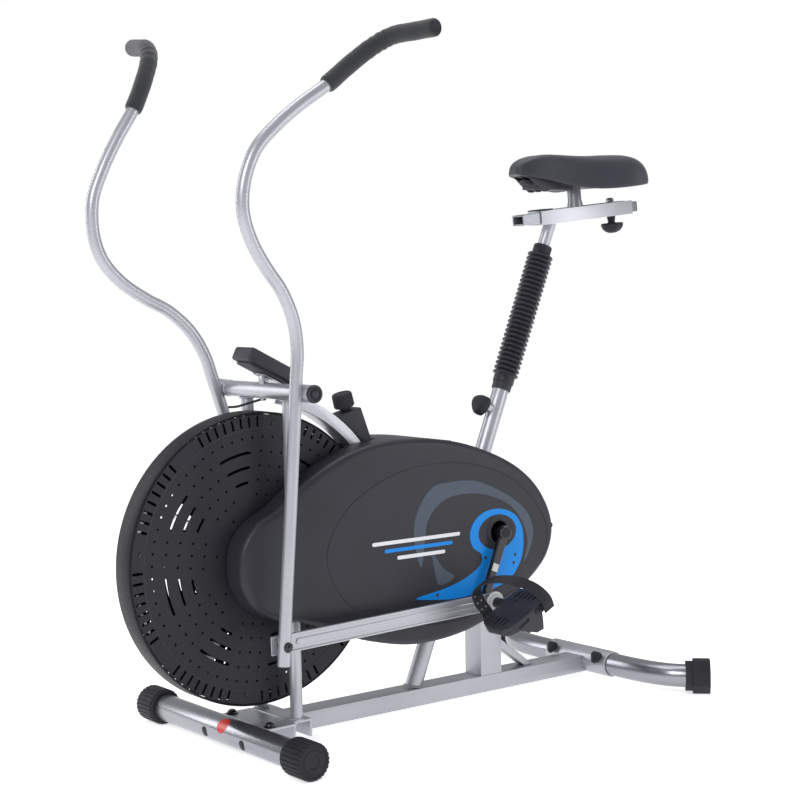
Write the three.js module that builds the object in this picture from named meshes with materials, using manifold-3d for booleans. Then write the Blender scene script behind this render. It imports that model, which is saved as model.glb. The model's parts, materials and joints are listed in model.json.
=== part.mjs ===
// Air bike: a fan exercise bike with two swinging levers, built as separate named pieces.
// Millimetres. +X runs from the fan to the saddle, +Y is the rider's right, +Z is up, the floor is Z = 0.
import * as THREE from "three";
import { mergeVertices } from "three/addons/utils/BufferGeometryUtils.js";
import Module from "manifold-3d";

const wasm = await Module();
wasm.setup();

// ---- Driving dimensions -------------------------------------------------------------------------
const MIDDLE_X = 5.5; // shift that puts the origin under the middle of the whole bike
const GAP = 0.3; // gap left at every contact between two pieces

const FLOOR_TO_FOOT = 32; // height of both foot tubes' axes
const FRONT_FOOT = { x: -397, radius: 24, half: 240, capInner: 202, capOuter: 265, capRadius: 33 };
const REAR_FOOT = { x: 458, radius: 22.5, sleeveRadius: 25.5, sleeveHalf: 86, capHalfFlat: 32 };
const RAIL = { front: -263, rear: 441, halfWidth: 24, low: 10.5, top: 42.5 };
const CHANNEL = { front: -302, rear: -263.5, half: 67, low: 11, top: 43, wall: 4 };
const UPRIGHT = { radius: 11, foot: [-288, 55, 43.3], head: [-299, 65.5, 612] };
const CROSSBAR = { x: -304, z: 617, radius: 14, half: 110.5, axleRadius: 8, axleHalf: 146 };

const FAN = { x: -336.3, z: 326.7, cageRadius: 256, cageHalf: 23, wheelRadius: 232, wheelHalf: 17 };
const ARC = { inner: 272.5, outer: 292.5, half: 20 };
const CRANK = { x: 168, z: 328.5, length: 132, leanDeg: 22.5 };
const SHELL = { radius: 17, half: 30 };
const SEAT_TUBE = { x: 13, z: 38, lean: 0.415, radius: 16, top: 612 };
const POST = { front: 163.3, rear: 215.3, half: 23.5 };

const LEVER_Y = 126; // distance of each lever's straight lower tube from the middle plane
const LEVER_TUBE = 11;
const LOWER_BOLT = { x: -357.5, z: 193 };
const LINK = { inner: 107, outer: 113, half: 16.5 };
const PEDAL = { boss: 116, inner: 150, outer: 236, leftTurnDeg: -27, rightTurnDeg: 210 };
const STRAP = { width: 24, halfThick: 1.6, innerX: -44, outerX: 20 };

const COVER = { face: 75, wall: 3, seam: 0.3 };
const CHAIN_Y = 40;
const CHAINRING_RADIUS = 72;
const SPROCKET_RADIUS = 27;

const SEAT = { x: 375, z: 913, tiltDeg: 6, postRadius: 12 };
const SADDLE = { baseLow: 988, baseHigh: 997.5, top: 1050 };

// ---- Materials ----------------------------------------------------------------------------------
function material(colour, roughness, metalness) {
  return new THREE.MeshStandardMaterial({ color: colour, roughness, metalness });
}
const silver = material(0xb9bac4, 0.38, 0.7);
const chrome = material(0xd8d8dc, 0.15, 1);
const steel = material(0x8f9197, 0.35, 0.9);
const black = material(0x26272b, 0.6, 0);
const darkSteel = material(0x2d2e33, 0.35, 0.8);
const foam = material(0x33343a, 0.9, 0);
const rubber = material(0x1d1e20, 0.85, 0);
const vinyl = material(0x3a3b42, 0.55, 0);
const grey = material(0x6a6c74, 0.5, 0);

// ---- Geometry helpers ---------------------------------------------------------------------------
const group = new THREE.Group();

function add(name, geometry, look) {
  const mesh = new THREE.Mesh(geometry, look);
  mesh.name = name;
  group.add(mesh);
}

function radians(degrees) {
  return (degrees * Math.PI) / 180;
}

function polygon(radius, sides) {
  const step = (2 * Math.PI) / sides;
  return Array.from({ length: sides }, (_, i) => {
    const angle = step * (i + 0.5);
    return new THREE.Vector2(radius * Math.cos(angle), radius * Math.sin(angle));
  });
}

function smoothOutline(pairs, count) {
  const curve = new THREE.CatmullRomCurve3(
    pairs.map(([x, z]) => new THREE.Vector3(x, z, 0)),
    true,
    "centripetal",
  );
  return curve.getSpacedPoints(count).slice(0, count).map((p) => new THREE.Vector2(p.x, p.y));
}

// Moves each corner of a closed outline inwards by a distance.
function inset(outline, distance) {
  const turn = Math.sign(THREE.ShapeUtils.area(outline));
  return outline.map((point, i) => {
    const before = outline[(i + outline.length - 1) % outline.length];
    const after = outline[(i + 1) % outline.length];
    const along = after.clone().sub(before).normalize();
    return new THREE.Vector2(point.x - along.y * distance * turn, point.y + along.x * distance * turn);
  });
}

function withHoles(outline, holes) {
  const shape = new THREE.Shape(outline);
  shape.holes = holes.map((hole) => new THREE.Path(hole));
  return shape;
}

// An outline drawn in X and Z, stretched along Y from one value to the other.
function plate(shape, yLow, yHigh) {
  const flat = shape instanceof THREE.Shape ? shape : new THREE.Shape(shape);
  return new THREE.ExtrudeGeometry(flat, { depth: yHigh - yLow, bevelEnabled: false })
    .rotateX(Math.PI / 2)
    .translate(0, yHigh, 0);
}

function corners(pairs) {
  return pairs.map(([x, z]) => new THREE.Vector2(x, z));
}

function block(x0, x1, y0, y1, z0, z1) {
  return new THREE.BoxGeometry(x1 - x0, y1 - y0, z1 - z0).translate(
    (x0 + x1) / 2,
    (y0 + y1) / 2,
    (z0 + z1) / 2,
  );
}

// A profile of [radius, distance] pairs turned about the line from one point towards another.
function turned(profile, from, towards, sides = 24) {
  const geometry = new THREE.LatheGeometry(
    profile.map(([radius, distance]) => new THREE.Vector2(radius, distance)),
    sides,
  );
  const axis = new THREE.Vector3(...towards).sub(new THREE.Vector3(...from)).normalize();
  const turn = new THREE.Quaternion().setFromUnitVectors(new THREE.Vector3(0, 1, 0), axis);
  return geometry.applyQuaternion(turn).translate(...from);
}

function rod(from, to, radius, sides = 24) {
  const length = new THREE.Vector3(...from).distanceTo(new THREE.Vector3(...to));
  return turned([[0, 0], [radius, 0], [radius, length], [0, length]], from, to, sides);
}

// A round or flat-sided bar swept along a smooth line through the points.
function swept(points, section, steps, hole) {
  const path = new THREE.CatmullRomCurve3(
    points.map((point) => new THREE.Vector3(...point)),
    false,
    "centripetal",
  );
  const shape = withHoles(section, hole ? [hole] : []);
  return new THREE.ExtrudeGeometry(shape, { steps, bevelEnabled: false, extrudePath: path });
}

function solid(geometry) {
  const bare = geometry.index ? geometry.toNonIndexed() : geometry.clone();
  bare.deleteAttribute("normal");
  bare.deleteAttribute("uv");
  const merged = mergeVertices(bare, 1e-3);
  return new wasm.Manifold(
    new wasm.Mesh({
      numProp: 3,
      vertProperties: merged.attributes.position.array,
      triVerts: new Uint32Array(merged.index.array),
    }),
  );
}

function geometryOf(body) {
  const mesh = body.getMesh();
  const geometry = new THREE.BufferGeometry();
  geometry.setAttribute("position", new THREE.BufferAttribute(mesh.vertProperties, 3));
  geometry.setIndex(new THREE.BufferAttribute(mesh.triVerts, 1));
  geometry.computeVertexNormals();
  return geometry;
}

function joined(...geometries) {
  return geometryOf(geometries.map(solid).reduce((sum, next) => sum.add(next)));
}

function cut(base, ...tools) {
  return geometryOf(tools.map(solid).reduce((rest, tool) => rest.subtract(tool), solid(base)));
}

function mirrored(geometry) {
  const flipped = (geometry.index ? geometry.toNonIndexed() : geometry.clone()).scale(1, -1, 1);
  const position = flipped.getAttribute("position");
  for (let i = 0; i < position.count; i += 3) {
    const second = new THREE.Vector3().fromBufferAttribute(position, i + 1);
    const third = new THREE.Vector3().fromBufferAttribute(position, i + 2);
    position.setXYZ(i + 1, third.x, third.y, third.z);
    position.setXYZ(i + 2, second.x, second.y, second.z);
  }
  flipped.computeVertexNormals();
  return flipped;
}

// The left piece lies at negative Y, and the right piece is its mirror image.
function addPair(name, leftGeometry, look) {
  add(`left_${name}`, leftGeometry, look);
  add(`right_${name}`, mirrored(leftGeometry), look);
}

// Turns a geometry about an axis along Y; a positive angle carries its top towards the saddle.
function turnAbout(geometry, x, z, angle) {
  return geometry.translate(-x, 0, -z).rotateY(angle).translate(x, 0, z);
}

// ---- Base frame ---------------------------------------------------------------------------------
const footAxis = FRONT_FOOT.x;
const frontFootPoint = (y) => [footAxis, y, FLOOR_TO_FOOT];
add(
  "front_foot_tube",
  rod(frontFootPoint(-FRONT_FOOT.half), frontFootPoint(FRONT_FOOT.half), FRONT_FOOT.radius, 32),
  silver,
);
addPair(
  "front_foot_cap",
  cut(
    rod(frontFootPoint(-FRONT_FOOT.capOuter), frontFootPoint(-FRONT_FOOT.capInner), FRONT_FOOT.capRadius, 40),
    rod(frontFootPoint(-FRONT_FOOT.half - GAP), frontFootPoint(0), FRONT_FOOT.radius + GAP, 32),
    block(footAxis - 50, footAxis + 50, -300, -100, -10, 0),
  ),
  rubber,
);

const channelOutline = corners([
  [CHANNEL.front, CHANNEL.low],
  [CHANNEL.front, CHANNEL.top],
  [CHANNEL.rear, CHANNEL.top],
  [CHANNEL.rear, CHANNEL.low],
  [CHANNEL.rear - CHANNEL.wall, CHANNEL.low],
  [CHANNEL.rear - CHANNEL.wall, CHANNEL.top - CHANNEL.wall],
  [CHANNEL.front + CHANNEL.wall, CHANNEL.top - CHANNEL.wall],
  [CHANNEL.front + CHANNEL.wall, CHANNEL.low],
]);
add(
  "front_bracket",
  cut(
    joined(
      plate(channelOutline, -CHANNEL.half, CHANNEL.half),
      block(footAxis + 10, CHANNEL.front + 1, -74, 74, 37, 41),
      block(-366, -362, -74, 74, 12, 41),
    ),
    rod(frontFootPoint(-90), frontFootPoint(90), FRONT_FOOT.radius + GAP, 32),
  ),
  silver,
);
const bracketBolt = { x: -348, y: -60.6, z: 41 + GAP };
addPair(
  "front_foot_bolt",
  turned(
    [[0, 0], [8, 0], [8, 2], [6.5, 6], [3, 8], [0, 8.5]],
    [bracketBolt.x, bracketBolt.y, bracketBolt.z],
    [bracketBolt.x, bracketBolt.y, bracketBolt.z + 20],
    16,
  ),
  darkSteel,
);

const rearFootPoint = (y) => [REAR_FOOT.x, y, FLOOR_TO_FOOT];
add(
  "main_rail",
  cut(
    block(RAIL.front, RAIL.rear, -RAIL.halfWidth, RAIL.halfWidth, RAIL.low, RAIL.top),
    rod(rearFootPoint(-60), rearFootPoint(60), REAR_FOOT.sleeveRadius + GAP, 32),
  ),
  silver,
);

const crossbarAxis = (y) => [CROSSBAR.x, y, CROSSBAR.z];
const [footX, footY, footZ] = UPRIGHT.foot;
const [headX, headY, headZ] = UPRIGHT.head;
addPair(
  "upright",
  cut(
    rod([footX, -footY, footZ], [headX, -headY, headZ], UPRIGHT.radius, 20),
    rod(crossbarAxis(-100), crossbarAxis(0), CROSSBAR.radius + GAP, 24),
    block(-330, -250, -80, -20, 30, CHANNEL.top + GAP),
  ),
  silver,
);
const axleStep = CROSSBAR.axleHalf - CROSSBAR.half;
add(
  "pivot_crossbar",
  turned(
    [
      [0, 0],
      [CROSSBAR.axleRadius, 0],
      [CROSSBAR.axleRadius, axleStep],
      [CROSSBAR.radius, axleStep],
      [CROSSBAR.radius, axleStep + 2 * CROSSBAR.half],
      [CROSSBAR.axleRadius, axleStep + 2 * CROSSBAR.half],
      [CROSSBAR.axleRadius, 2 * CROSSBAR.axleHalf],
      [0, 2 * CROSSBAR.axleHalf],
    ],
    crossbarAxis(-CROSSBAR.axleHalf),
    crossbarAxis(0),
    24,
  ),
  silver,
);

// The arc tube leaves the crossbar, runs round the fan and ends on the seat tube.
const seatTubePoint = (z) => [SEAT_TUBE.x + (z - SEAT_TUBE.z) * SEAT_TUBE.lean, 0, z];
const arcMiddle = (ARC.inner + ARC.outer) / 2;
const arcPoints = [76, 66, 56, 46, 36, 26, 16].map((degrees) => [
  FAN.x + arcMiddle * Math.cos(radians(degrees)),
  0,
  FAN.z + arcMiddle * Math.sin(radians(degrees)),
]);
const arcSection = corners([
  [-ARC.half, -(ARC.outer - ARC.inner) / 2],
  [ARC.half, -(ARC.outer - ARC.inner) / 2],
  [ARC.half, (ARC.outer - ARC.inner) / 2],
  [-ARC.half, (ARC.outer - ARC.inner) / 2],
]);
const seatTubeCutter = rod(seatTubePoint(0), seatTubePoint(700), SEAT_TUBE.radius + GAP, 24);
const arcTube = cut(
  swept([...arcPoints, [-30, 0, 372], [10, 0, 360], [60, 0, 356], [148, 0, 356]], arcSection, 28),
  rod(crossbarAxis(-60), crossbarAxis(60), CROSSBAR.radius + GAP, 24),
  seatTubeCutter,
  block(155, 300, -60, 60, 300, 420),
);
add("arc_tube", arcTube, silver);

const crankAxis = (y) => [CRANK.x, y, CRANK.z];
const pinZ = 550.6; // height at which the pop pin's axis meets the seat tube's axis
const pinX = SEAT_TUBE.x + (pinZ - SEAT_TUBE.z) * SEAT_TUBE.lean;
const tubeSlope = Math.hypot(SEAT_TUBE.lean, 1);
const pinPoint = (d) => [pinX - d / tubeSlope, 0, pinZ + (SEAT_TUBE.lean * d) / tubeSlope];
const pinRod = (from, to, radius) => rod(pinPoint(from), pinPoint(to), radius, 16);
const seatTube = cut(
  joined(
    rod(seatTubePoint(SEAT_TUBE.z - 30), seatTubePoint(SEAT_TUBE.top), SEAT_TUBE.radius, 24),
    pinRod(13, 24, 9),
  ),
  pinRod(5, 30, 4 + GAP),
  block(-60, 100, -60, 60, -20, RAIL.top + GAP),
  rod(crankAxis(-60), crankAxis(60), SHELL.radius + GAP, 24),
  rod(seatTubePoint(300), seatTubePoint(700), SEAT.postRadius + GAP, 24),
);
add("seat_tube", seatTube, silver);

const crankPost = cut(
  joined(
    block(POST.front, POST.rear, -POST.half, POST.half, RAIL.top + GAP, 322),
    rod(crankAxis(-SHELL.half), crankAxis(SHELL.half), SHELL.radius, 24),
  ),
  rod(crankAxis(-60), crankAxis(60), 9, 24),
  rod(seatTubePoint(200), seatTubePoint(500), SEAT_TUBE.radius + 0.2, 24),
);
add("crank_post", crankPost, silver);
add(
  "post_gusset",
  plate(
    corners([
      [POST.rear + GAP, 112],
      [POST.rear + GAP, 92],
      [287, RAIL.top + GAP],
      [309, RAIL.top + GAP],
    ]),
    -11,
    11,
  ),
  silver,
);

add(
  "rear_foot_sleeve",
  cut(
    rod(
      rearFootPoint(-REAR_FOOT.sleeveHalf),
      rearFootPoint(REAR_FOOT.sleeveHalf),
      REAR_FOOT.sleeveRadius,
      32,
    ),
    rod(rearFootPoint(-90), rearFootPoint(90), REAR_FOOT.radius + GAP, 32),
  ),
  silver,
);
const rearFootLine = [
  [458, -30], [458, -70], [458, -110], [459.5, -150], [465, -190], [477, -225], [496, -252], [507, -263],
].map(([x, y]) => [x, y, FLOOR_TO_FOOT]);
addPair("rear_foot_tube", swept(rearFootLine, polygon(REAR_FOOT.radius, 16), 12), silver);

// The rear caps are eight-sided, with one flat on the floor and a round step towards the tube.
const capAxis = new THREE.Vector3(11, -11, 0).normalize();
const capFrom = [492, -248, FLOOR_TO_FOOT];
const capPoint = (distance) => [
  capFrom[0] + capAxis.x * distance,
  capFrom[1] + capAxis.y * distance,
  FLOOR_TO_FOOT,
];
const octagon = polygon(REAR_FOOT.capHalfFlat / Math.cos(Math.PI / 8), 8);
const capBody = new THREE.ExtrudeGeometry(new THREE.Shape(octagon), { depth: 33, bevelEnabled: false })
  .rotateX(Math.PI / 2)
  .rotateZ(Math.atan2(capAxis.y, capAxis.x) + Math.PI / 2)
  .translate(...capPoint(14));
addPair(
  "rear_foot_cap",
  cut(
    joined(capBody, rod(capPoint(0), capPoint(20), 29, 28)),
    swept(rearFootLine, polygon(REAR_FOOT.radius + 0.5, 16), 12),
  ),
  rubber,
);
const REAR_BOLT_RISE = radians(30); // how far above level the rear foot's bolts point
const rearBoltPoint = (d) => [
  REAR_FOOT.x - d * Math.cos(REAR_BOLT_RISE),
  -64,
  FLOOR_TO_FOOT + d * Math.sin(REAR_BOLT_RISE),
];
addPair(
  "rear_foot_bolt",
  turned([[0, 0], [9.5, 0], [9.5, 5], [7, 9], [0, 10]], rearBoltPoint(26.2), rearBoltPoint(40), 8),
  rubber,
);

// ---- Fan and its cage ---------------------------------------------------------------------------
const SLOT_GROUPS = 8;
const SCREW_ANGLE = 171.4; // direction of the plain spoke that holds the first screw
const SLOTS_IN_GROUP = 8;
const SLOT_PITCH = 4.07;
const RIM_SLOT = { inner: 229.5, outer: 251, half: 2.2 };
const ARC_SLOTS = [
  { radius: 187.5, halfSpan: 9.6 },
  { radius: 162.2, halfSpan: 7.9 },
  { radius: 137, halfSpan: 4.9 },
];

function fanPoint(radius, degrees) {
  return new THREE.Vector2(
    FAN.x + radius * Math.cos(radians(degrees)),
    FAN.z + radius * Math.sin(radians(degrees)),
  );
}

function radialSlot(degrees) {
  const side = (radius) => (RIM_SLOT.half / radius) * (180 / Math.PI);
  return [
    fanPoint(RIM_SLOT.inner, degrees - side(RIM_SLOT.inner)),
    fanPoint(RIM_SLOT.outer, degrees - side(RIM_SLOT.outer)),
    fanPoint(RIM_SLOT.outer, degrees + side(RIM_SLOT.outer)),
    fanPoint(RIM_SLOT.inner, degrees + side(RIM_SLOT.inner)),
  ];
}

function arcSlot({ radius, halfSpan }, middle) {
  return [
    fanPoint(radius + 2.2, middle - halfSpan),
    fanPoint(radius + 2.2, middle + halfSpan),
    fanPoint(radius - 2.2, middle + halfSpan),
    fanPoint(radius - 2.2, middle - halfSpan),
  ];
}

function circleOutline(radius, sides) {
  return Array.from({ length: sides }, (_, i) => fanPoint(radius, (360 * i) / sides));
}

const grilleHoles = [];
for (let i = 0; i < SLOT_GROUPS; i += 1) {
  const middle = SCREW_ANGLE - 22.5 + (360 / SLOT_GROUPS) * i;
  for (let slot = 0; slot < SLOTS_IN_GROUP; slot += 1) {
    grilleHoles.push(radialSlot(middle + (slot - (SLOTS_IN_GROUP - 1) / 2) * SLOT_PITCH));
  }
  for (const arc of ARC_SLOTS) grilleHoles.push(arcSlot(arc, middle));
}
grilleHoles.push(circleOutline(24, 16));
const cageFace = withHoles(circleOutline(FAN.cageRadius, 56), grilleHoles);
addPair("cage_grille", plate(cageFace, -FAN.cageHalf, -FAN.cageHalf + 2.5), black);
const bandShape = withHoles(circleOutline(FAN.cageRadius, 56), [circleOutline(FAN.cageRadius - 3, 56)]);
const bandHalf = FAN.cageHalf - 2.5 - GAP;
add("cage_band", plate(bandShape, -bandHalf, bandHalf), black);

const fanAxis = (y) => [FAN.x, y, FAN.z];
const blades = Array.from({ length: 12 }, (_, i) =>
  turnAbout(
    block(FAN.x + 30, FAN.x + FAN.wheelRadius - 4, -FAN.wheelHalf, FAN.wheelHalf, FAN.z - 1.2, FAN.z + 1.2),
    FAN.x,
    FAN.z,
    radians(30 * i),
  ),
);
const wheelRim = withHoles(circleOutline(FAN.wheelRadius, 40), [circleOutline(FAN.wheelRadius - 6, 40)]);
add(
  "fan_wheel",
  cut(
    joined(
      plate(wheelRim, -6, 6),
      rod(fanAxis(-FAN.wheelHalf), fanAxis(FAN.wheelHalf), 34, 24),
      rod(fanAxis(0), fanAxis(CHAIN_Y + 3), 17, 16),
      rod(fanAxis(CHAIN_Y - 2), fanAxis(CHAIN_Y + 2), SPROCKET_RADIUS - 3, 24),
      ...blades,
    ),
    rod(fanAxis(-60), fanAxis(60), 6.4, 16),
  ),
  darkSteel,
);
add("fan_axle", rod(fanAxis(-45), fanAxis(45), 6, 16), steel);

// ---- Casing covers ------------------------------------------------------------------------------
const coverOutline = smoothOutline(
  [
    [-406, 318], [-400, 358], [-373, 393], [-328, 417], [-283, 450], [-212, 488], [-137, 512], [-10, 517],
    [113, 495], [227, 445], [283, 393], [311, 328], [298, 273], [247, 224], [125, 157], [-17, 139],
    [-130, 159], [-280, 212], [-338, 226], [-380, 252], [-401, 285],
  ],
  44,
);
const uprightCutter = rod([footX, -footY, footZ - 20], [headX, -headY, headZ], UPRIGHT.radius + 1, 20);
const leftCover = cut(
  plate(coverOutline, -COVER.face, -COVER.seam),
  plate(inset(coverOutline, COVER.wall), -COVER.face + COVER.wall, 10),
  rod(fanAxis(-FAN.cageHalf - 3), fanAxis(20), FAN.cageRadius + 4, 48),
  rod(seatTubePoint(0), seatTubePoint(650), SEAT_TUBE.radius + 2.5, 12),
  swept(
    arcPoints,
    corners([[-ARC.half - 2, -13], [ARC.half + 2, -13], [ARC.half + 2, 13], [-ARC.half - 2, 13]]),
    16,
  ),
  block(POST.front - 3, POST.rear + 3, -POST.half - 3, 10, 60, 300),
  rod(crankAxis(-90), crankAxis(-60), 21, 24),
  block(-122, -76, -19, 10, 490, 530),
  uprightCutter,
);
addPair("cover", leftCover, black);

// ---- Drive --------------------------------------------------------------------------------------
function gearOutline(x, z, radius, teeth, depth) {
  return Array.from({ length: teeth * 2 }, (_, i) => {
    const angle = (Math.PI * i) / teeth;
    const reach = i % 2 ? radius - depth : radius;
    return new THREE.Vector2(x + reach * Math.cos(angle), z + reach * Math.sin(angle));
  });
}

const ringWindows = Array.from({ length: 5 }, (_, i) => {
  const angle = radians(72 * i + 36);
  return polygon(14, 8).map(
    (p) => new THREE.Vector2(CRANK.x + 44 * Math.cos(angle) + p.x, CRANK.z + 44 * Math.sin(angle) + p.y),
  );
});
const chainringShape = withHoles(gearOutline(CRANK.x, CRANK.z, CHAINRING_RADIUS - 3, 22, 4), ringWindows);
add(
  "crank_axle",
  joined(
    rod(crankAxis(-84), crankAxis(84), 8, 24),
    plate(chainringShape, CHAIN_Y - 1.5, CHAIN_Y + 1.5),
  ),
  darkSteel,
);

// The chain is one loop of constant width outside both gears.
function chainLoop(offset) {
  const big = CHAINRING_RADIUS + offset;
  const small = SPROCKET_RADIUS + offset;
  const distance = CRANK.x - FAN.x;
  const wrap = Math.acos((big - small) / distance);
  const loop = [];
  for (let i = 0; i <= 20; i += 1) {
    const angle = -wrap + (2 * wrap * i) / 20;
    loop.push(new THREE.Vector2(CRANK.x + big * Math.cos(angle), CRANK.z + big * Math.sin(angle)));
  }
  for (let i = 0; i <= 10; i += 1) {
    const angle = wrap + ((2 * Math.PI - 2 * wrap) * i) / 10;
    loop.push(new THREE.Vector2(FAN.x + small * Math.cos(angle), FAN.z + small * Math.sin(angle)));
  }
  return loop;
}
add("drive_chain", plate(withHoles(chainLoop(5), [chainLoop(-1.5)]), CHAIN_Y - 4, CHAIN_Y + 4), steel);

const lean = radians(CRANK.leanDeg);
const leftPin = [CRANK.x - CRANK.length * Math.sin(lean), CRANK.z - CRANK.length * Math.cos(lean)];
const rightPin = [CRANK.x + CRANK.length * Math.sin(lean), CRANK.z + CRANK.length * Math.cos(lean)];

// Both cranks are drawn hanging straight down on the left side, then turned to their own angle.
function crankArm() {
  const arm = corners([[-13, 10], [13, 10], [11, -CRANK.length - 4], [-11, -CRANK.length - 4]]);
  return cut(
    joined(
      plate(arm, -94, -84.5).translate(CRANK.x, 0, CRANK.z),
      rod(crankAxis(-96), crankAxis(-79), 17, 24),
      rod([CRANK.x, -97, CRANK.z - CRANK.length], [CRANK.x, -83, CRANK.z - CRANK.length], 14, 24),
      rod([CRANK.x, -PEDAL.outer + 6, CRANK.z - CRANK.length], [CRANK.x, -90, CRANK.z - CRANK.length], 7, 24),
    ),
    rod(crankAxis(-84 - GAP), crankAxis(-60), 8 + GAP, 24),
  );
}
add("left_crank", turnAbout(crankArm(), CRANK.x, CRANK.z, lean), darkSteel);
add("right_crank", mirrored(turnAbout(crankArm(), CRANK.x, CRANK.z, lean + Math.PI)), darkSteel);

// The pedal is drawn round its own spindle on the left side, with the foot on its upper face.
// A keel below the spindle makes an empty pedal hang the right way up.
function pedalBody() {
  const profile = corners([
    [-78, 1], [-74, 8], [52, 9], [56, 4], [56, -4], [9, -9], [3, -24], [-2, -38], [-18, -35], [-52, -8],
    [-74, -6],
  ]);
  const toeCorners = [-240, -146].map((y) =>
    block(-20, 20, -20, 20, -60, 60).rotateZ(radians(45)).translate(-84, y, 0),
  );
  const slots = [-55, 24].map((x) => block(x - 10, x + 10, -190, -186, -60, 60));
  return cut(
    joined(
      plate(profile, -PEDAL.outer, -PEDAL.inner),
      block(10, 30, -243, -PEDAL.outer + 1, -6, 4),
      rod([0, -PEDAL.boss, 0], [0, -PEDAL.inner - 4, 0], 16, 24),
    ),
    rod([0, -PEDAL.outer + 4, 0], [0, -100, 0], 7 + GAP, 24),
    ...toeCorners,
    ...slots,
  );
}

// The toe strap arches over the foot, from the pedal's inner edge in front to its outer edge behind.
// The pairs are the distance from the middle plane and the height above the spindle.
function toeStrap() {
  const arch = corners([
    [148.1, -10], [148.1, 12], [144, 40], [146, 60], [164, 74], [200, 70], [234, 44], [246, 14], [244.8, -8],
  ]);
  const edge = (offset) => arch.map((point, i) => {
    const next = arch[Math.min(i + 1, arch.length - 1)];
    const along = next.clone().sub(arch[Math.max(i - 1, 0)]).normalize();
    return new THREE.Vector2(point.x - along.y * offset, point.y + along.x * offset);
  });
  const outline = [...edge(STRAP.halfThick), ...edge(-STRAP.halfThick).reverse()];
  const innerY = arch[0].x;
  const slant = (STRAP.outerX - STRAP.innerX) / (arch[arch.length - 1].x - innerY);
  return new THREE.ExtrudeGeometry(new THREE.Shape(outline), { depth: STRAP.width, bevelEnabled: false })
    .rotateX(Math.PI / 2)
    .rotateZ(-Math.PI / 2)
    .applyMatrix4(new THREE.Matrix4().makeShear(0, 0, -slant, 0, 0, 0))
    .translate(STRAP.width / 2 + STRAP.innerX - slant * innerY, 0, 0);
}

// The left pedal stands toe down, and the right pedal hangs with its strap below it.
function onPin(geometry, [x, z], turnDeg) {
  return turnAbout(geometry, 0, 0, radians(turnDeg)).translate(x, 0, z);
}
for (const [name, make, look] of [["pedal", pedalBody, black], ["pedal_strap", toeStrap, rubber]]) {
  add(`left_${name}`, onPin(make(), leftPin, PEDAL.leftTurnDeg), look);
  add(`right_${name}`, mirrored(onPin(make(), rightPin, PEDAL.rightTurnDeg)), look);
}

// ---- Levers and link bars -----------------------------------------------------------------------
// The link bar's length fixes where the right lever stands while the right pedal is at the top.
const linkLength = Math.hypot(leftPin[0] - LOWER_BOLT.x, leftPin[1] - LOWER_BOLT.z);
const armLength = Math.hypot(LOWER_BOLT.x - CROSSBAR.x, LOWER_BOLT.z - CROSSBAR.z);
const reach = Math.hypot(rightPin[0] - CROSSBAR.x, rightPin[1] - CROSSBAR.z);
const reachAngle = Math.atan2(rightPin[1] - CROSSBAR.z, rightPin[0] - CROSSBAR.x);
const swing = Math.acos((armLength ** 2 + reach ** 2 - linkLength ** 2) / (2 * armLength * reach));
const rightArmAngle = reachAngle - swing;
const leftArmAngle = Math.atan2(LOWER_BOLT.z - CROSSBAR.z, LOWER_BOLT.x - CROSSBAR.x);
const rightLeverTurn = leftArmAngle - rightArmAngle;
const rightBolt = [
  CROSSBAR.x + armLength * Math.cos(rightArmAngle),
  CROSSBAR.z + armLength * Math.sin(rightArmAngle),
];

const leverLine = [
  [-360, 126, 160], [-351, 126, 280], [-341, 126, 406], [-332, 126, 523], [-323.5, 126, 641],
  [-320.5, 127, 690], [-329, 129, 741], [-353, 132, 790], [-383, 135, 826], [-413, 138, 870],
  [-430, 140, 917], [-428, 141, 964], [-405, 141, 1019], [-365, 142, 1060], [-316, 144, 1098],
  [-266, 147, 1131], [-220, 155, 1169], [-184, 172, 1199], [-165, 200, 1214], [-152, 243, 1217],
  [-141, 287, 1219],
].map(([x, y, z]) => [x, -y, z]);
const GRIP_START = 15; // index of the point where the grip begins

function leverTube() {
  return cut(
    joined(
      swept(leverLine, polygon(LEVER_TUBE, 10), 36),
      rod(crossbarAxis(-148), crossbarAxis(-CROSSBAR.half - 0.7), 15, 24),
    ),
    rod(crossbarAxis(-160), crossbarAxis(-100), CROSSBAR.axleRadius + 0.4, 24),
    rod([LOWER_BOLT.x, -145, LOWER_BOLT.z], [LOWER_BOLT.x, -100, LOWER_BOLT.z], 4.4, 16),
  );
}
const leverPath = new THREE.CatmullRomCurve3(
  leverLine.map((point) => new THREE.Vector3(...point)),
  false,
  "centripetal",
);
const gripStart = GRIP_START / (leverLine.length - 1);
const gripLine = Array.from({ length: 14 }, (_, i) =>
  leverPath.getPoint(gripStart + ((1 - gripStart) * i) / 13).toArray(),
);
function grip() {
  return cut(
    swept(gripLine, polygon(15.5, 12), 10),
    swept(leverLine, polygon(LEVER_TUBE + 0.4, 10), 36),
  );
}
function pivotCap() {
  return turned(
    [[0, 0], [15, 0], [15, 3], [12, 8], [0, 8.5]],
    crossbarAxis(-148 - GAP),
    crossbarAxis(-170),
    24,
  );
}
function lowerBolt() {
  const from = [LOWER_BOLT.x, -LEVER_Y - LEVER_TUBE - 0.4, LOWER_BOLT.z];
  return joined(
    turned([[0, 0], [8, 0], [8, 2], [6, 5.5], [0, 7.5]], from, [from[0], -200, from[2]], 20),
    rod([from[0], from[1] - 1, from[2]], [from[0], -LINK.outer - 1, from[2]], 4, 16),
  );
}
const leverPieces = [
  ["lever", leverTube, silver],
  ["grip", grip, foam],
  ["pivot_cap", pivotCap, black],
  ["lower_bolt", lowerBolt, darkSteel],
];
for (const [name, make, look] of leverPieces) {
  add(`left_${name}`, make(), look);
  add(`right_${name}`, mirrored(turnAbout(make(), CROSSBAR.x, CROSSBAR.z, rightLeverTurn)), look);
}

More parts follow.
